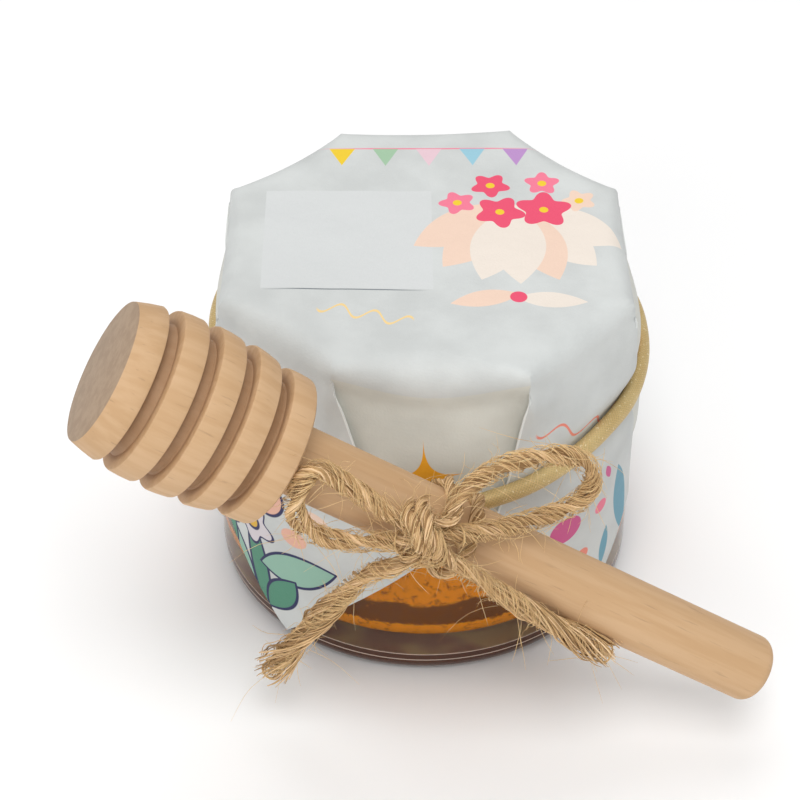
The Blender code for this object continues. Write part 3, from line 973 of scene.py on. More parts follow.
def gold_material():
    """A satin sleeve of very fine metallic threads, plaited round the elastic."""
    surface, n, skin = new_material("gold thread", metallic=0.25, roughness=0.50)
    flat = n.add("ShaderNodeSeparateXYZ", {"Vector": flat_place(n)}).outputs
    around = n.math("MULTIPLY", flat["X"], math.tau * 15)
    along = n.math("MULTIPLY", flat["Y"], math.tau * 21)
    one = n.math("SINE", n.math("ADD", around, along))
    two = n.math("SINE", n.math("SUBTRACT", around, along))
    plait = n.math("MAXIMUM", one, two)
    base = tuple(settings().gold_colour)
    place = object_place(n)
    worn = n.math("MULTIPLY", n.ramp(n.noise(place, 260.0, 2.0), 0.35, 0.7), 0.4)
    body = n.mix(n.ramp(plait, -0.2, 0.9), times(base, 0.80), base)
    body = n.mix(worn, body, (0.66, 0.52, 0.25))
    # Specks of pale gold are painted glints, a painted highlight of the metallic threads.
    painted_glints = n.ramp(n.noise(place, 3200.0, 2.0), 0.62, 0.72)
    n.put(skin.inputs["Base Color"], n.mix(painted_glints, body, (0.85, 0.74, 0.48)))
    n.bump(skin, 0.25, 0.00004, plait)
    return surface


def dipper_matrix():
    """The dipper's own frame: Z runs along its axis, from the handle's end to the head."""
    pitch, yaw = math.radians(DIPPER_PITCH), math.radians(DIPPER_YAW)
    ahead = Vector((-math.cos(pitch) * math.cos(yaw), -math.cos(pitch) * math.sin(yaw), math.sin(pitch)))
    tail = DIPPER_AT_KNOT - ahead * (DIPPER_LENGTH - KNOT_TO_HEAD)
    return Matrix.Translation(tail) @ ahead.to_track_quat("Z", "Y").to_matrix().to_4x4()


def wood_material():
    surface, n, skin = new_material("turned beech", roughness=0.60, specular=0.3)
    inverse = dipper_matrix().inverted()
    place = n.add("ShaderNodeMapping", {
        "Vector": object_place(n), "Location": inverse.to_translation(),
        "Rotation": inverse.to_euler()}).outputs[0]
    grain = n.group(grain_group(), vector=place, scale=2600.0, stretch=0.07)
    base = settings().wood_colour
    pale, tan = times(base, 1.05, 1.06, 1.09), times(base, 0.96, 0.93, 0.89)
    colour = n.mix(n.ramp(grain["Broad"], 0.34, 0.68), tan, pale)
    pores = n.ramp(grain["Fine"], 0.62, 0.74)
    colour = n.mix(n.math("MULTIPLY", pores, 0.40), colour, times(base, 0.60))
    # The grooves are where the wood lies deeper than the head's swelling outline. Their darker colour is partly
    # painted shade and partly the darker end grain of their walls.
    split = n.add("ShaderNodeSeparateXYZ", {"Vector": place}).outputs
    away = n.math("SUBTRACT", split["Z"], DIPPER_LENGTH - HEAD_MIDDLE)
    swell = n.math("MULTIPLY_ADD", n.math("MULTIPLY", away, away), -9.0, 0.0109)
    sunk = n.ramp(n.math("SUBTRACT", swell, n.reach(split["X"], split["Y"])), 0.0007, 0.0017)
    in_head = n.math("GREATER_THAN", split["Z"], DIPPER_LENGTH - HEAD_LENGTH)
    groove_shade_and_grain = n.math("MULTIPLY", n.math("MULTIPLY", sunk, in_head), 0.55)
    colour = n.mix(groove_shade_and_grain, colour, (0.27, 0.150, 0.085))
    end_grain = n.mix(n.ramp(grain["Broad"], 0.35, 0.65), (0.35, 0.243, 0.160), (0.405, 0.288, 0.192))
    on_face = n.math("GREATER_THAN", split["Z"], DIPPER_LENGTH - 0.00012)
    n.put(skin.inputs["Base Color"], n.mix(on_face, colour, end_grain))
    n.bump(skin, 0.35, 0.00010, grain["Fine"])
    return surface


def jute_material(name, tone):
    """Fibres that run along the yarn: v of the flat map is the way along it, in centimetres."""
    surface, n, skin = new_material(name, roughness=0.80, specular=0.25)
    flat = n.add("ShaderNodeSeparateXYZ", {"Vector": flat_place(n)}).outputs
    strand = n.add("ShaderNodeCombineXYZ", {
        "X": n.math("MULTIPLY", flat["X"], 0.0023), "Y": 0.0,
        "Z": n.math("MULTIPLY", flat["Y"], 0.01)}).outputs[0]
    grain = n.group(grain_group(), vector=strand, scale=2400.0, stretch=0.12)
    base = times(settings().jute_colour, tone)
    dark, pale = times(base, 0.40, 0.33, 0.28), times(base, 1.40, 1.55, 2.00)
    each = n.add("ShaderNodeTexWhiteNoise", {"W": n.math("FLOOR", flat["X"])},
                 noise_dimensions="1D").outputs["Value"]
    colour = n.mix(n.ramp(grain["Fine"], 0.30, 0.58), dark, base)
    colour = n.mix(n.ramp(grain["Fine"], 0.52, 0.76), colour, pale)
    colour = n.mix(n.math("MULTIPLY", n.ramp(each, 0.45, 0.95), 0.80), colour, pale)
    colour = n.mix(n.math("MULTIPLY", n.ramp(each, 0.50, 0.05), 0.75), colour, dark)
    n.put(skin.inputs["Base Color"], colour)
    n.bump(skin, 0.6, 0.00008, grain["Fine"])
    return surface


# The paper cover's shape.

# The numbers of its surfaces; the flaps' follow the order of FLAPS.
TOP_SKIN, SIDE_SKIN, FLAP_SKIN, FOLD_SKIN = 0, 1, 2, 6


def turn_between(azimuth, start):
    return start + (azimuth - start) % 360.0


def towards(azimuth, reach=1.0, z=0.0):
    """The point at a distance from the axis towards an azimuth."""
    turn = math.radians(azimuth)
    return Vector((reach * math.sin(turn), -reach * math.cos(turn), z))


def rim_side(azimuth):
    """The side of the top's outline at an azimuth: its number, the degrees past its corner, its span."""
    for i, (first, _) in enumerate(RIM_CORNERS):
        span = (RIM_CORNERS[(i + 1) % len(RIM_CORNERS)][0] - first) % 360.0
        past = (azimuth - first) % 360.0
        if past <= span + 1e-6:
            return i, past, span
    raise ValueError("azimuth outside the rim")


def rim_distance(azimuth):
    """How far the eight-cornered top reaches from the axis towards an azimuth."""
    i, past, span = rim_side(azimuth)
    first_r, second_r = RIM_CORNERS[i][1], RIM_CORNERS[(i + 1) % len(RIM_CORNERS)][1]
    a, b = math.radians(past), math.radians(span - past)
    return first_r * second_r * math.sin(a + b) / (first_r * math.sin(a) + second_r * math.sin(b))


def bend_at(azimuth):
    """The radius of the top's rounded edge: tight at the eight corners and softer between them."""
    i, past, span = rim_side(azimuth)
    if i == FRONT_PANEL:
        wide, ease = FRONT_BEND, 1.1
    else:
        wide, ease = FLAP_BEND if any(flap[2] == i for flap in FLAPS) else PANEL_BEND, 0.7
    return COVER_BEND + (wide - COVER_BEND) * max(0.0, math.sin(math.pi * past / span)) ** ease


GOLD_LINE = []


def gold_line():
    """The elastic cord's centreline as closely spaced points, all the way round."""
    if not GOLD_LINE:
        GOLD_LINE.extend(smooth_route([towards(*corner) for corner in GOLD_ROUTE], closed=True))
    return list(GOLD_LINE)


def gold_cord_at(azimuth):
    """The elastic cord's distance from the axis and its height at an azimuth."""
    line = gold_line()
    turns = [math.degrees(math.atan2(p.x, -p.y)) % 360.0 for p in line] + [360.0]
    line.append(line[0])
    azimuth %= 360.0
    i = next(k for k in range(len(line) - 1) if turns[k] <= azimuth <= turns[k + 1])
    point = line[i].lerp(line[i + 1], (azimuth - turns[i]) / (turns[i + 1] - turns[i]))
    return math.hypot(point.x, point.y), point.z


def free_radius(azimuth, z, start, lift):
    """How far the paper's outer face would be from the axis if no cord held it in."""
    down = smooth_step((start - z) / (SKIRT_REACH - COVER_BEND))
    lifted = lift * smooth_step((start - z) / LIFT_REACH)
    return rim_distance(azimuth) * (1.0 - down) + SKIRT_RADIUS * down + lifted


def paper_point(azimuth, z, start, lift, step, cord):
    """A point of the skirt, on a side panel (lift 0) or on a corner flap."""
    cord_distance, cord_z = cord
    held = cord_distance - GOLD_RADIUS - CORD_GAP
    pinch = max(0.0, free_radius(azimuth, cord_z, start, lift) - held)
    radius = free_radius(azimuth, z, start, lift) - pinch * math.exp(-(((z - cord_z) / WAIST_HEIGHT) ** 2))
    turn = math.radians(azimuth)
    spot = Vector((math.sin(turn) * 2.2, math.cos(turn) * 2.2, z * 70 + lift * 9000))
    ripple = settings().paper_ripple * noise.noise(spot) * smooth_step((start - z) / LIFT_REACH)
    return towards(azimuth, radius + (ripple + step), z)


def top_height(x, y, edge):
    """The top is a little slack: it dips and swells by a fraction of a millimetre inside its edge."""
    spot = Vector((x * 60, y * 60, 0.3))
    slack = 0.00030 * (noise.noise(spot) - 0.45) + 0.00012 * noise.noise(spot * 2.7)
    return COVER_TOP + slack * smooth_step((1.0 - edge) / 0.25)


def flat_of(x, y):
    return (x / SHEET_SIDE + 0.5, y / SHEET_SIDE + 0.5)


def flap_end(corner, lean, tip, tip_z, side):
    """The azimuth at which a flap's fold meets its slanting hem.  side is -1 or 1."""
    start = COVER_TOP - COVER_BEND
    per_degree = math.radians(SKIRT_RADIUS)
    slope = math.tan(math.radians(lean))
    shift = slope * (start - tip_z) / per_degree
    return (corner + side * shift + slope * tip) / (1.0 + slope)


def side_directions(first, second):
    """Along one side of the top's outline, and straight out from it."""
    corners = [towards(azimuth) * distance for azimuth, distance in (first, second)]
    across = (corners[1] - corners[0]).normalized()
    return across, Vector((across.y, -across.x, 0))


def fold_step(first, second, share, lift):
    """How far a flap stands out beside its two folds, or a side panel sinks between them."""
    step = 0.0
    for corner, away in ((first, share), (second, 1.0 - share)):
        at_front = abs((corner[0] + 180.0) % 360.0 - 180.0) < FRONT_HALF
        deep = FOLD_STEP if at_front else BACK_FOLD_STEP
        if lift:
            step += deep * smooth_step(1.0 - away / 0.30)
        else:
            step -= 0.25 * deep * smooth_step(away / 0.06)
    return step


def add_panel(shell, first, second, ends, hem, lift, rows):
    """One panel below the rim: columns run from the rim between two corners down to the hem."""
    across, out = side_directions(first, second)
    grid, flats = [[] for _ in range(rows + 1)], [[] for _ in range(rows + 1)]
    for j in range(PANEL_COLUMNS + 1):
        share = j / PANEL_COLUMNS
        top_azimuth = first[0] + (second[0] - first[0]) * share
        end_azimuth = ends[0] + (ends[1] - ends[0]) * share
        low = hem(end_azimuth)
        bend = bend_at(top_azimuth)
        start = COVER_TOP - bend
        rim = towards(top_azimuth) * (rim_distance(top_azimuth) - bend)
        step = fold_step(first, second, share, lift)
        for i in range(rows + 1):
            t = i / rows
            azimuth = top_azimuth + (end_azimuth - top_azimuth) * t
            z = start + (low - start) * t
            sink = step * smooth_step(t / 0.10) * (1.0 - smooth_step((t - 0.45) / 0.3))
            grid[i].append(paper_point(azimuth, z, start, lift, sink, gold_cord_at(azimuth)))
            beyond = out * (bend * math.pi / 2 + start - z)
            slid = across * math.radians(azimuth - top_azimuth) * SKIRT_RADIUS
            place = rim + beyond + slid
            flats[i].append(flat_of(place.x, place.y))
    shell.grid(grid, flats)
    return grid, flats


def add_turned_edge(shell, grid, flats, column, side):
    """The paper turns under itself at a fold: a tight bend and a strip that runs back beneath."""
    rows, flat_rows = [], []
    last = len(grid) - 1
    for i, row in enumerate(grid):
        point = row[column]
        turn = math.atan2(point.x, -point.y)
        out = Vector((math.sin(turn), -math.cos(turn), 0))
        across = Vector((math.cos(turn), math.sin(turn), 0)) * side
        grow = smooth_step(i / last * 9.0 - 0.35)
        strip = []
        for k in range(6):
            bend = math.pi * k / 5
            sideways = across * math.sin(bend) * TURN_WIDTH * grow
            strip.append(point + sideways - out * (1 - math.cos(bend)) * TURN_DEPTH * grow)
        strip.append(strip[-1] - (across * UNDER_WIDTH + out * UNDER_DEPTH) * grow)
        rows.append(strip)
        flat_rows.append([flats[i][column]] * len(strip))
    shell.grid(rows, flat_rows)


def add_top(shell):
    """The flat of the top, as rings of points about its middle."""
    azimuths = []
    for i, (first, _) in enumerate(RIM_CORNERS):
        second = turn_between(RIM_CORNERS[(i + 1) % len(RIM_CORNERS)][0], first)
        azimuths += [first + (second - first) * j / PANEL_COLUMNS for j in range(PANEL_COLUMNS)]
    rings, flats = [], []
    for i in range(1, TOP_RINGS + 1):
        share = i / TOP_RINGS
        ring, flat = [], []
        for azimuth in azimuths:
            turn = math.radians(azimuth)
            reach = (rim_distance(azimuth) - bend_at(azimuth)) * share
            x, y = math.sin(turn) * reach, -math.cos(turn) * reach
            ring.append(Vector((x, y, top_height(x, y, share))))
            flat.append(flat_of(x, y))
        rings.append(ring)
        flats.append(flat + flat[:1])
    shell.grid(rings, flats, closed=True)
    centre = Vector((0, 0, top_height(0, 0, 0)))
    shell.fan(centre, rings[0], flat_of(0, 0), flats[0])


def add_bend(shell, first, second):
    """The rounded edge of the top along one side of its eight-cornered outline."""
    steps = 7
    _, out = side_directions(first, second)
    rows, flats = [], []
    for k in range(steps + 1):
        bend = math.radians(90 * (1 - k / steps))
        row, flat = [], []
        for j in range(PANEL_COLUMNS + 1):
            azimuth = first[0] + (second[0] - first[0]) * j / PANEL_COLUMNS
            ahead = towards(azimuth)
            radius = bend_at(azimuth)
            reach = rim_distance(azimuth) - radius
            point = ahead * (reach + radius * math.cos(bend))
            point.z = COVER_TOP - radius + radius * math.sin(bend)
            row.append(point)
            place = ahead * reach + out * (radius * (math.pi / 2 - bend))
            flat.append(flat_of(place.x, place.y))
        rows.append(row)
        flats.append(flat)
    shell.grid(rows, flats)


def add_flap(shell, flap, first, second):
    """A corner flap: a panel with a pointed hem, and its two turned edges."""
    tip, tip_z, _, first_lean, second_lean = flap
    tip = turn_between(tip, first[0])
    ends = (flap_end(first[0], first_lean, tip, tip_z, -1), flap_end(second[0], second_lean, tip, tip_z, 1))

    def hem(azimuth):
        return tip_z + math.radians(abs(azimuth - tip)) * SKIRT_RADIUS

    grid, flat = add_panel(shell, first, second, ends, hem, FLAP_LIFT, FLAP_ROWS)
    shell.skin = FOLD_SKIN
    add_turned_edge(shell, grid, flat, 0, -1)
    add_turned_edge(shell, grid, flat, -1, 1)


def build_paper():
    shell = Shell()
    add_top(shell)
    for i, first in enumerate(RIM_CORNERS):
        corner = RIM_CORNERS[(i + 1) % len(RIM_CORNERS)]
        second = (turn_between(corner[0], first[0]), corner[1])
        shell.skin = TOP_SKIN
        add_bend(shell, first, second)
        flap = next((f for f in FLAPS if f[2] == i), None)
        if flap is None:
            shell.skin = SIDE_SKIN
            low = PANEL_HEMS[round(first[0])]
            ends = (first[0], second[0])
            add_panel(shell, first, second, ends, lambda azimuth, low=low: low, 0.0, PANEL_ROWS)
        else:
            shell.skin = FLAP_SKIN + FLAPS.index(flap)
            add_flap(shell, flap, first, second)
    surfaces = [
        paper_material("printed paper, top", top_motifs()),
        # The side panels' warmer tone is painted reflected light, the warm glow of the wooden dipper bounced onto the
        # paper.
        paper_material("printed paper, sides", side_motifs(), (1.05, 1.02, 0.95)),
        paper_material("printed paper, front left", flap_motifs(SPRIG, -45, 1)),
        paper_material("printed paper, front right", flap_motifs(CONFETTI, 45, 1)),
        paper_material("printed paper, back right", flap_motifs(SPRIG, 135, -1)),
        paper_material("printed paper, back left", flap_motifs(CONFETTI, -135, -1)),
        fold_highlight_material(),
    ]
    cover = shell.build("paper_cover_sheet", merge=2e-6)
    for surface in surfaces:
        cover.data.materials.append(surface)
    wall = cover.modifiers.new("paper", "SOLIDIFY")
    wall.thickness = settings().paper_sheet
    wall.offset = -1.0
    wall.material_offset = len(surfaces)
    pick(cover)
    bpy.ops.object.modifier_apply(modifier="paper")
    bpy.ops.object.shade_smooth_by_angle(angle=math.radians(50))
    finish_piece(cover, surfaces, "paper", "paper_cover")


# The jar, the honey, the lid and the dipper.

BASE_SKIN, SHADED_FOOT_SKIN, HIGHLIGHT_LINE_SKIN = 1, 2, 3


def build_glass():
    neck, inside = JAR_RADIUS - SHOULDER_RADIUS, JAR_RADIUS - WALL
    profile = [(PIN, 0.0004), (0.0220, 0.0004), (0.0236, 0.0001), (0.0246, 0.0), (FOOT_RING, 0.0)]
    profile += arc(JAR_RADIUS - HEEL, HEEL, HEEL, -80, 0, 10)
    profile += [(JAR_RADIUS, z) for line in FOOT_HIGHLIGHT_LINES for z in line if z > HEEL + 1e-5]
    profile += [(JAR_RADIUS, 0.0100), (JAR_RADIUS, 0.0220)]
    profile += arc(neck, SHOULDER_Z, SHOULDER_RADIUS, 0, SHOULDER_TURN, 12)
    profile += [(NECK_RADIUS, 0.0404), (NECK_RADIUS, MOUTH_Z - 0.0006), (NECK_RADIUS - 0.0006, MOUTH_Z)]
    profile += [(MOUTH_RADIUS + 0.0004, MOUTH_Z), (MOUTH_RADIUS, MOUTH_Z - 0.0005), (MOUTH_RADIUS, 0.0406)]
    profile += arc(neck, SHOULDER_Z, SHOULDER_RADIUS - WALL, SHOULDER_TURN, 0, 12)
    profile += [(inside, 0.0200)]
    profile += arc(inside - INNER_HEEL, FLOOR + INNER_HEEL, INNER_HEEL, 0, -88, 14)
    profile += [(0.0120, FLOOR), (PIN, FLOOR)]
    jar = turned("jar_glass", profile)
    # Faces round the foot take painted shade, and two thin bands there a painted highlight.
    for face in jar.data.polygons:
        x, y, z = face.center
        if math.hypot(x, y) > FOOT_RING and z < FOOT_HIGHLIGHT_LINES[-1][1]:
            on_highlight_line = any(low < z < high for low, high in FOOT_HIGHLIGHT_LINES)
            face.material_index = HIGHLIGHT_LINE_SKIN if on_highlight_line else SHADED_FOOT_SKIN
        elif z < BASE_TOP:
            face.material_index = BASE_SKIN
    surfaces = [
        glass_material(), painted_base_material(),
        painted_foot_material("glass foot, painted shade", (0.075, 0.030, 0.018)),
        painted_foot_material("painted highlight line in glass", (0.62, 0.50, 0.42)),
    ]
    finish_piece(jar, surfaces, "glass", "glass_jar")


def build_honey():
    """The honey reaches a hair into the glass, so that no air shows between them."""
    into = 0.0001
    side = JAR_RADIUS - WALL + into
    heel = INNER_HEEL + into
    bottom = FLOOR - into
    shoulder = SHOULDER_RADIUS - WALL + into
    profile = [(PIN, bottom), (0.0120, bottom)]
    profile += arc(side - heel, bottom + heel, heel, -88, 0, 14)
    profile += [(side, 0.0200)]
    turn = math.degrees(math.asin(min(1.0, (HONEY_HIGH.z - SHOULDER_Z) / shoulder)))
    profile += arc(JAR_RADIUS - SHOULDER_RADIUS, SHOULDER_Z, shoulder, 0, turn, 8)
    profile += [(profile[-1][0] - 0.0010, profile[-1][1] - 0.0003), (PIN, HONEY_HIGH.z - 0.0003)]
    finish_piece(turned("honey_fill", profile), honey_material(), "honey", "honey")


def build_lid():
    low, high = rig.box("lid")
    radius, sheet, edge = high.x, 0.0006, 0.0030
    inner = radius - sheet
    profile = [(PIN, high.z - sheet), (inner, high.z - sheet), (inner, low.z), (radius, low.z)]
    profile += arc(radius - edge, high.z - edge, edge, 0, 90, 6)
    profile += [(PIN, high.z)]
    finish_piece(turned("lid_cap", profile), lid_material(), "lid", "lid")


def build_dipper():
    """The profile runs from the head's flat face, over its discs, to the handle's rounded end."""
    edge = 0.00035
    z = DIPPER_LENGTH
    profile = [(PIN, z)]
    for i, radius in enumerate(DISC_RADII):
        after = DISC_RADII[min(i + 1, len(DISC_RADII) - 1)]
        upper = FACE_RADIUS if i == 0 else radius
        lower = (radius + after) / 2 - (0.0001 if i >= 2 else 0.0)
        profile += [(upper - edge, z), (upper - 0.3 * edge, z - 0.25 * edge), (upper, z - edge)]
        width = DISC_WIDTH + (0.0004 if i == 0 else 0.0)
        profile += [((upper + lower) / 2 + 0.00005, z - width / 2)]
        z -= width
        profile += [(lower, z + edge), (lower - 0.3 * edge, z + 0.25 * edge)]
        if i < len(DISC_RADII) - 1:
            profile += [(lower - edge, z), (lower - GROOVE_DEPTH + 0.0002, z)]
            profile += [(lower - GROOVE_DEPTH, z - 0.0002)]
            z -= GROOVE_WIDTH
            profile += [(after - GROOVE_DEPTH, z + 0.0002), (after - GROOVE_DEPTH + 0.0002, z)]
    profile += [(DISC_RADII[-1] - 0.0009, z - 0.0003), (HANDLE_RADIUS + 0.0004, z - 0.0012)]
    profile += [(HANDLE_RADIUS + 0.0001, z - 0.0016), (HANDLE_RADIUS, z - 0.0024)]
    profile += [(HANDLE_RADIUS, DIPPER_LENGTH / 2), (HANDLE_RADIUS, DIPPER_LENGTH / 4)]
    profile += arc(HANDLE_RADIUS - HANDLE_END_RADIUS, HANDLE_END_RADIUS, HANDLE_END_RADIUS, 0, -84, 8)
    profile += [(PIN, 0.0)]
    dipper = turned("dipper_wood", profile)
    pick(dipper)
    dipper.matrix_world = dipper_matrix()
    bpy.ops.object.transform_apply(location=True, rotation=True, scale=True)
    finish_piece(dipper, wood_material(), "beech", "honey_dipper")


def build_gold_cord():
    line = spaced(gold_line(), GOLD_STEP, closed=True)
    shell = Shell()
    add_tube(shell, line, [GOLD_RADIUS] * len(line), GOLD_SIDES, closed=True)
    finish_piece(shell.build("gold_elastic"), gold_material(), "gold_cord", "gold_cord")


# The twine.

def ply_gap(share, opening, fan):
    """How far each ply lies from the twine's route, by the share of the way along it."""
    part = smooth_step((share - 0.12) / 0.5) if fan else math.sin(math.pi * share) ** 2
    return PLY_GAP + opening * part


def ply_lines(points, closed, pitch, opening, fan, phase):
    """The centrelines of two plies that wind round a route."""
    frames = frames_along(points, closed)
    total = line_length(points) + ((points[0] - points[-1]).length if closed else 0.0)
    turns = round(total / pitch) if closed else total / pitch
    lines = ([], [])
    along = 0.0
    for i, point in enumerate(points):
        if i:
            along += (point - points[i - 1]).length
        ahead, side, across = frames[i]
        gap = ply_gap(along / total, opening, fan)
        for k, line in enumerate(lines):
            turn = math.tau * turns * along / total + phase + math.pi * k
            line.append(point + (side * math.cos(turn) + across * math.sin(turn)) * gap)
    return lines


def add_twine(shell, points, seed, closed=False, pitch=0.0085, opening=0.0, fan=0.0):
    """Two plies, each a core with fibre yarns wound round it, along a route.

    pitch is the length of one turn of the plies, opening is how far they part, and fan is how wide
    the yarns spread at a frayed end, or 0.
    """
    draw = random.Random(seed)
    yarns = YARNS * 3 // 2 if fan else YARNS
    if fan:
        points = points + [points[-1] + (points[-1] - points[-2]) * k for k in (1, 2, 3)]
    flat = (points[-1] - points[-4]).normalized().cross(TOWARDS_VIEW).normalized()
    for line in ply_lines(points, closed, pitch, opening, fan, draw.uniform(0, 6)):
        if closed:
            line = line + line[:6]
        frames = frames_along(line, False)
        last = len(line) - 1
        core = last if not fan else round(last * FRAY_CORE)
        radii = [CORE_RADIUS * (0.3 + 0.7 * smooth_step(min(i, core - i) / 8)) for i in range(core + 1)]
        add_tube(shell, line[:core + 1], radii, CORE_SIDES)
        lay = math.tau / (draw.uniform(0.0062, 0.0074) * (FRAY_LAY if fan else 1.0))
        for yarn in range(yarns):
            start = math.tau * yarn / yarns + draw.uniform(-0.2, 0.2)
            end = last - (draw.randrange(0, 9) if fan and yarn % 3 else 0)
            first = draw.randrange(0, 3) if not closed else 0
            girth = draw.uniform(0.00006, 0.00015)
            reach = draw.uniform(0.00030 if fan else 0.00042, 0.00056)
            away = draw.uniform(-0.5, 0.5)
            depth = draw.uniform(-0.25, 0.25)
            wander = draw.uniform(0, 50)
            path, girths = [], []
            for i in [*range(first, end, 2), end]:
                share = i / last
                ahead, side, across = frames[i]
                along = i * TWINE_STEP
                sway = noise.noise(Vector((wander, along * (150 if fan else 260), 0)))
                turn = start + lay * along + 0.45 * sway
                loose = 1.0 + (1.2 * smooth_step((share - 0.2) / 0.6) if fan else 0.0)
                out = reach * loose * (1.0 + 0.26 * noise.noise(Vector((along * 380, wander, 3))))
                point = line[i] + (side * math.cos(turn) + across * math.sin(turn)) * out
                open_out = smooth_step((share - 0.55) / 0.45) * fan
                point += (flat * away + ahead.cross(flat) * depth) * open_out
                path.append(point)
                girths.append(girth * (0.5 + 0.5 * smooth_step(min(i - first, end - i) / 6)))
            add_tube(shell, path, girths, YARN_SIDES, tint=draw.randrange(1, 400))


def add_hair(shell, points, radius):
    """One thin fibre."""
    count = len(points)
    radii = [radius * (1.0 - 0.6 * abs(2 * i / (count - 1) - 1) ** 3) for i in range(count)]
    add_tube(shell, points, radii, HAIR_SIDES)


def add_hairs(shell, points, per_length, seed):
    """Fibres that lift off the twine, and longer ones that follow it."""
    draw = random.Random(seed)
    frames = frames_along(points, False)
    total = line_length(points)
    step = total / (len(points) - 1)
    for _ in range(round(per_length * total)):
        i = draw.randrange(1, len(points) - 1)
        ahead, side, across = frames[i]
        turn = draw.uniform(0, math.tau)
        out = side * math.cos(turn) + across * math.sin(turn)
        start = points[i] + out * draw.uniform(0.0007, 0.0011)
        if draw.random() < 0.42:
            heading = (ahead * draw.choice((-1, 1)) + out * draw.uniform(0.25, 1.0)).normalized()
            curl = Vector((draw.uniform(-1, 1), draw.uniform(-1, 1), draw.uniform(-1.2, 0.5)))
            length = draw.uniform(0.0014, 0.0046) * (2.0 if draw.random() < 0.15 else 1.0)
            line = []
            for k in range(7):
                t = k / 6
                swing = across * math.sin(4.2 * t + turn) * 0.16 * length * t
                line.append(start + heading * length * t + curl * length * 0.62 * t * t + swing)
            add_hair(shell, line, draw.uniform(0.000026, 0.000044))
        else:
            span = draw.uniform(0.003, 0.010)
            wind = math.tau / 0.0075 * draw.uniform(0.75, 1.2)
            reach = draw.uniform(0.00108, 0.00132)
            line = []
            for k in range(11):
                along = span * k / 10
                at = min(len(points) - 1, i + along / step)
                j = min(int(at), len(points) - 2)
                ahead, side, across = frames[j]
                spot = points[j].lerp(points[j + 1], at - j)
                angle = turn + wind * along
                lift = reach + 0.00022 * math.sin(math.pi * k / 10)
                line.append(spot + (side * math.cos(angle) + across * math.sin(angle)) * lift)
            add_hair(shell, line, draw.uniform(0.00003, 0.00006))


def wrap_points(offset):
    """A closed turn of twine, square to the handle and pulled tight round it and the elastic cord."""
    ahead = dipper_matrix().to_3x3() @ Vector((0, 0, 1))
    handle = DIPPER_AT_KNOT + ahead * (offset / ahead.x)
    slant = -ahead.z / ahead.x

    def off_plane(p):
        return (p - handle).length + abs(p.x - handle.x - slant * (p.z - handle.z))

    cord = min(gold_line(), key=off_plane)
    across, round_cord = HANDLE_RADIUS + WRAP_GAP, GOLD_RADIUS + TWINE_RADIUS
    up = across * math.cos(math.radians(DIPPER_PITCH))
    points = []
    for i in range(WRAP_POINTS):
        turn = math.tau * i / WRAP_POINTS
        ny, nz = math.cos(turn), math.sin(turn)
        reach = math.hypot(across * ny, up * nz)
        if cord.y * ny + cord.z * nz + round_cord > handle.y * ny + handle.z * nz + reach:
            y, z = cord.y + round_cord * ny, cord.z + round_cord * nz
        else:
            y, z = handle.y + across ** 2 * ny / reach, handle.z + up ** 2 * nz / reach
        points.append(Vector((handle.x + slant * (z - handle.z), y, z)))
    return spaced(points, TWINE_STEP, closed=True)


def twine_line(points):
    fine = smooth_route([Vector(point) for point in points], closed=False)
    return spaced(fine, TWINE_STEP, closed=False)


def knot_strands():
    """Short strands that make the knot: two that bind it from top to bottom, and the bow's roots."""
    routes = [[KNOT_CENTRE + Vector(p) for p in route] for route in KNOT_BINDINGS]
    middle = KNOT_CENTRE + KNOT_MIDDLE
    roots = []
    for name, points in TWINE_ROUTES.items():
        route = [Vector(p) for p in points]
        roots.append((route[0], route[1]))
        if "loop" in name:
            roots.append((route[-1], route[-2]))
    for end, inward in roots:
        ahead = (end - inward).normalized()
        routes.append([end - ahead * 0.0012, end + ahead * 0.0006, end.lerp(middle, 0.6), middle])
    return [twine_line(route) for route in routes]


def build_twine():
    jute, pale = jute_material("jute twine", 1.0), jute_material("jute hairs", 1.40)
    knot = Shell()
    for i, offset in enumerate(WRAP_OFFSETS):
        add_twine(knot, wrap_points(offset), 20 + i, closed=True)
    for i, line in enumerate(knot_strands()):
        add_twine(knot, line, 30 + i)
    finish_piece(knot.build("twine_knot_strands"), jute, "jute",
                 "twine_knot", "twine_wrap_left", "twine_wrap_right")
    hairs = Shell()
    per_metre = settings().hair_count * 100
    for i, line in enumerate(knot_strands()):
        add_hairs(hairs, line, per_metre * 0.6, 60 + i)
    strands = {}
    for i, (name, points) in enumerate(TWINE_ROUTES.items()):
        line = twine_line(points)
        add_hairs(hairs, line, per_metre, 80 + i)
        strand = Shell()
        pitch, opening, fan = TWINE_LAY[name]
        add_twine(strand, line, 40 + i, pitch=pitch, opening=opening, fan=fan)
        strands[name] = (finish_piece(strand.build(name + "_strand"), jute, "jute", name), line)
    fuzz = finish_piece(hairs.build("twine_hairs"), pale, "jute")
    for name, (piece, line) in strands.items():
        path = [tuple(point) for point in line[::3]] + [tuple(line[-1])]
        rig.cord(
            piece, exit=tuple(line[0]), length=line_length(line), diameter=2 * TWINE_RADIUS,
            far_end="object" if "loop" in name else "bare", stiffness="limp", lay="loose",
            path=path, with_pieces=[fuzz] if name == "bow_end_left" else [],
        )


# The stage.

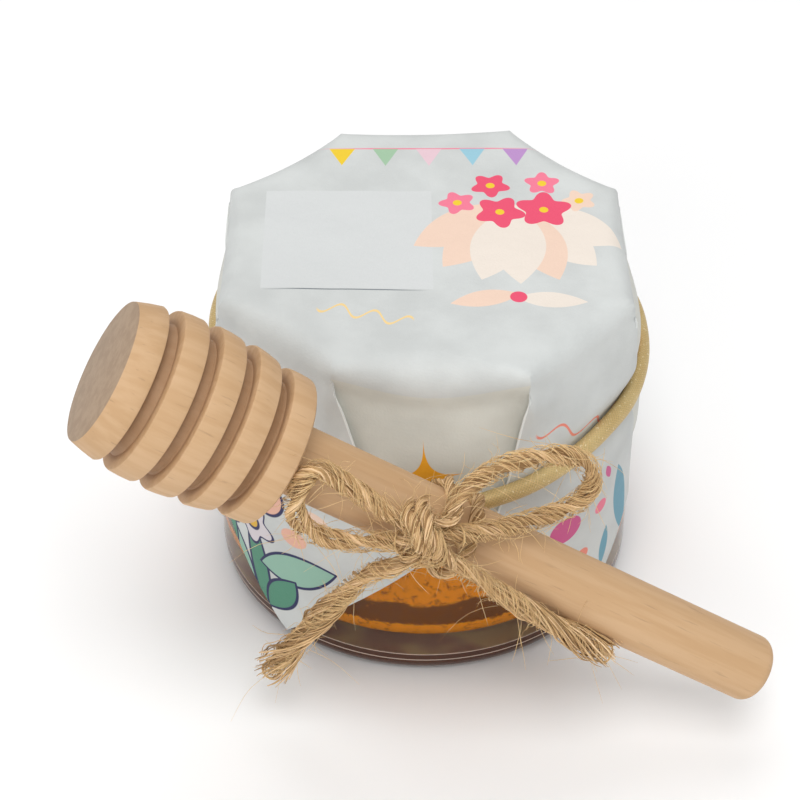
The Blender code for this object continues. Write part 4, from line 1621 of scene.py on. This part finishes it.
def build_stage():
    scene = bpy.context.scene
    scene.view_settings.view_transform = "Standard"
    deselect()
    bpy.ops.mesh.primitive_plane_add(size=6.0, location=(0, 0, -0.0001))
    floor = bpy.context.object
    floor.name = "floor"
    floor.data.materials.append(
        new_material("pale floor", (0.96, 0.96, 0.96), roughness=0.9, specular=0.1)[0])
    lamps = []
    for name, place, size, power in (
        ("key softbox", (0.04, -0.50, 1.05), 0.55, 5.8),
        ("top softbox", (-0.15, 0.50, 1.15), 0.90, 3.8),
        ("front fill", (-0.50, -1.05, 0.50), 0.80, 3.4),
    ):
        data = bpy.data.lights.new(name, "AREA")
        data.size = size
        data.energy = power
        lamp = bpy.data.objects.new(name, data)
        lamp.location = place
        lamp.rotation_euler = (Vector((0, 0, 0.03)) - Vector(place)).to_track_quat("-Z", "Y").to_euler()
        scene.collection.objects.link(lamp)
        lamps.append(lamp)
    world = bpy.data.worlds.new("pale room")
    world.use_nodes = True
    world.node_tree.nodes["Background"].inputs["Color"].default_value = (1.0, 1.0, 1.0, 1)
    world.node_tree.nodes["Background"].inputs["Strength"].default_value = 0.50
    scene.world = world
    data = bpy.data.cameras.new("camera")
    data.lens = CAMERA_LENS
    data.sensor_width = 36.0
    data.clip_start = 0.01
    data.clip_end = 20.0
    camera = bpy.data.objects.new("camera", data)
    camera.location = CAMERA_PLACE
    camera.rotation_euler = (CAMERA_AIM - CAMERA_PLACE).to_track_quat("-Z", "Y").to_euler()
    scene.collection.objects.link(camera)
    scene.camera = camera
    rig.stage(floor, camera, *lamps)


# Operators, in the order in which they are called.

class HONEYJAR_OT_glass(bpy.types.Operator):
    """Turn the jar's glass from its profile"""

    bl_idname = "honeyjar.glass"
    bl_label = "Glass jar"

    def execute(self, context):
        build_glass()
        return {"FINISHED"}


class HONEYJAR_OT_honey(bpy.types.Operator):
    """Fill the jar with honey up to its level"""

    bl_idname = "honeyjar.honey"
    bl_label = "Honey"

    def execute(self, context):
        build_honey()
        return {"FINISHED"}


class HONEYJAR_OT_lid(bpy.types.Operator):
    """Turn the lid that the paper covers"""

    bl_idname = "honeyjar.lid"
    bl_label = "Lid"

    def execute(self, context):
        build_lid()
        return {"FINISHED"}


class HONEYJAR_OT_paper(bpy.types.Operator):
    """Fold the printed sheet over the lid"""

    bl_idname = "honeyjar.paper"
    bl_label = "Paper cover"

    def execute(self, context):
        build_paper()
        return {"FINISHED"}


class HONEYJAR_OT_gold_cord(bpy.types.Operator):
    """Lay the elastic gold cord round the paper"""

    bl_idname = "honeyjar.gold_cord"
    bl_label = "Gold cord"

    def execute(self, context):
        build_gold_cord()
        return {"FINISHED"}


class HONEYJAR_OT_dipper(bpy.types.Operator):
    """Turn the wooden honey dipper and lay it against the jar"""

    bl_idname = "honeyjar.dipper"
    bl_label = "Honey dipper"

    def execute(self, context):
        build_dipper()
        return {"FINISHED"}


class HONEYJAR_OT_twine(bpy.types.Operator):
    """Tie the dipper on with a bow of jute twine"""

    bl_idname = "honeyjar.twine"
    bl_label = "Twine bow"

    def execute(self, context):
        build_twine()
        return {"FINISHED"}


class HONEYJAR_OT_stage(bpy.types.Operator):
    """Set up the floor, the lights and the camera"""

    bl_idname = "honeyjar.stage"
    bl_label = "Stage"

    def execute(self, context):
        build_stage()
        return {"FINISHED"}


PIECES = (
    HONEYJAR_OT_glass, HONEYJAR_OT_honey, HONEYJAR_OT_lid, HONEYJAR_OT_paper,
    HONEYJAR_OT_gold_cord, HONEYJAR_OT_dipper, HONEYJAR_OT_twine, HONEYJAR_OT_stage,
)


class HONEYJAR_PT_sidebar(bpy.types.Panel):
    """The sizes, the colours and the pieces"""

    bl_label = "Honey Jar"
    bl_space_type = "VIEW_3D"
    bl_region_type = "UI"
    bl_category = "Honey Jar"

    def draw(self, context):
        values = context.scene.honey_jar
        for name in values.bl_rna.properties.keys():
            if name not in ("rna_type", "name"):
                self.layout.prop(values, name)
        for piece in PIECES:
            self.layout.operator(piece.bl_idname)


CLASSES = (HoneyJarSettings, *PIECES, HONEYJAR_PT_sidebar)


def register():
    for item in CLASSES:
        bpy.utils.register_class(item)
    bpy.types.Scene.honey_jar = bpy.props.PointerProperty(type=HoneyJarSettings)


def unregister():
    del bpy.types.Scene.honey_jar
    for item in reversed(CLASSES):
        bpy.utils.unregister_class(item)


def plain(bounds):
    return [[round(float(x), 6) for x in corner] for corner in bounds]


def main():
    register()
    for piece in PIECES:
        group, name = piece.bl_idname.split(".")
        result = getattr(getattr(bpy.ops, group), name)()
        if result != {"FINISHED"}:
            raise RuntimeError(piece.bl_label + " wasn't built")
    with open("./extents.json", "w") as out:
        json.dump({"cad_box": plain(CAD_BOX), "visual_box": plain(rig.bounds())}, out)


if __name__ == "__main__":
    main()
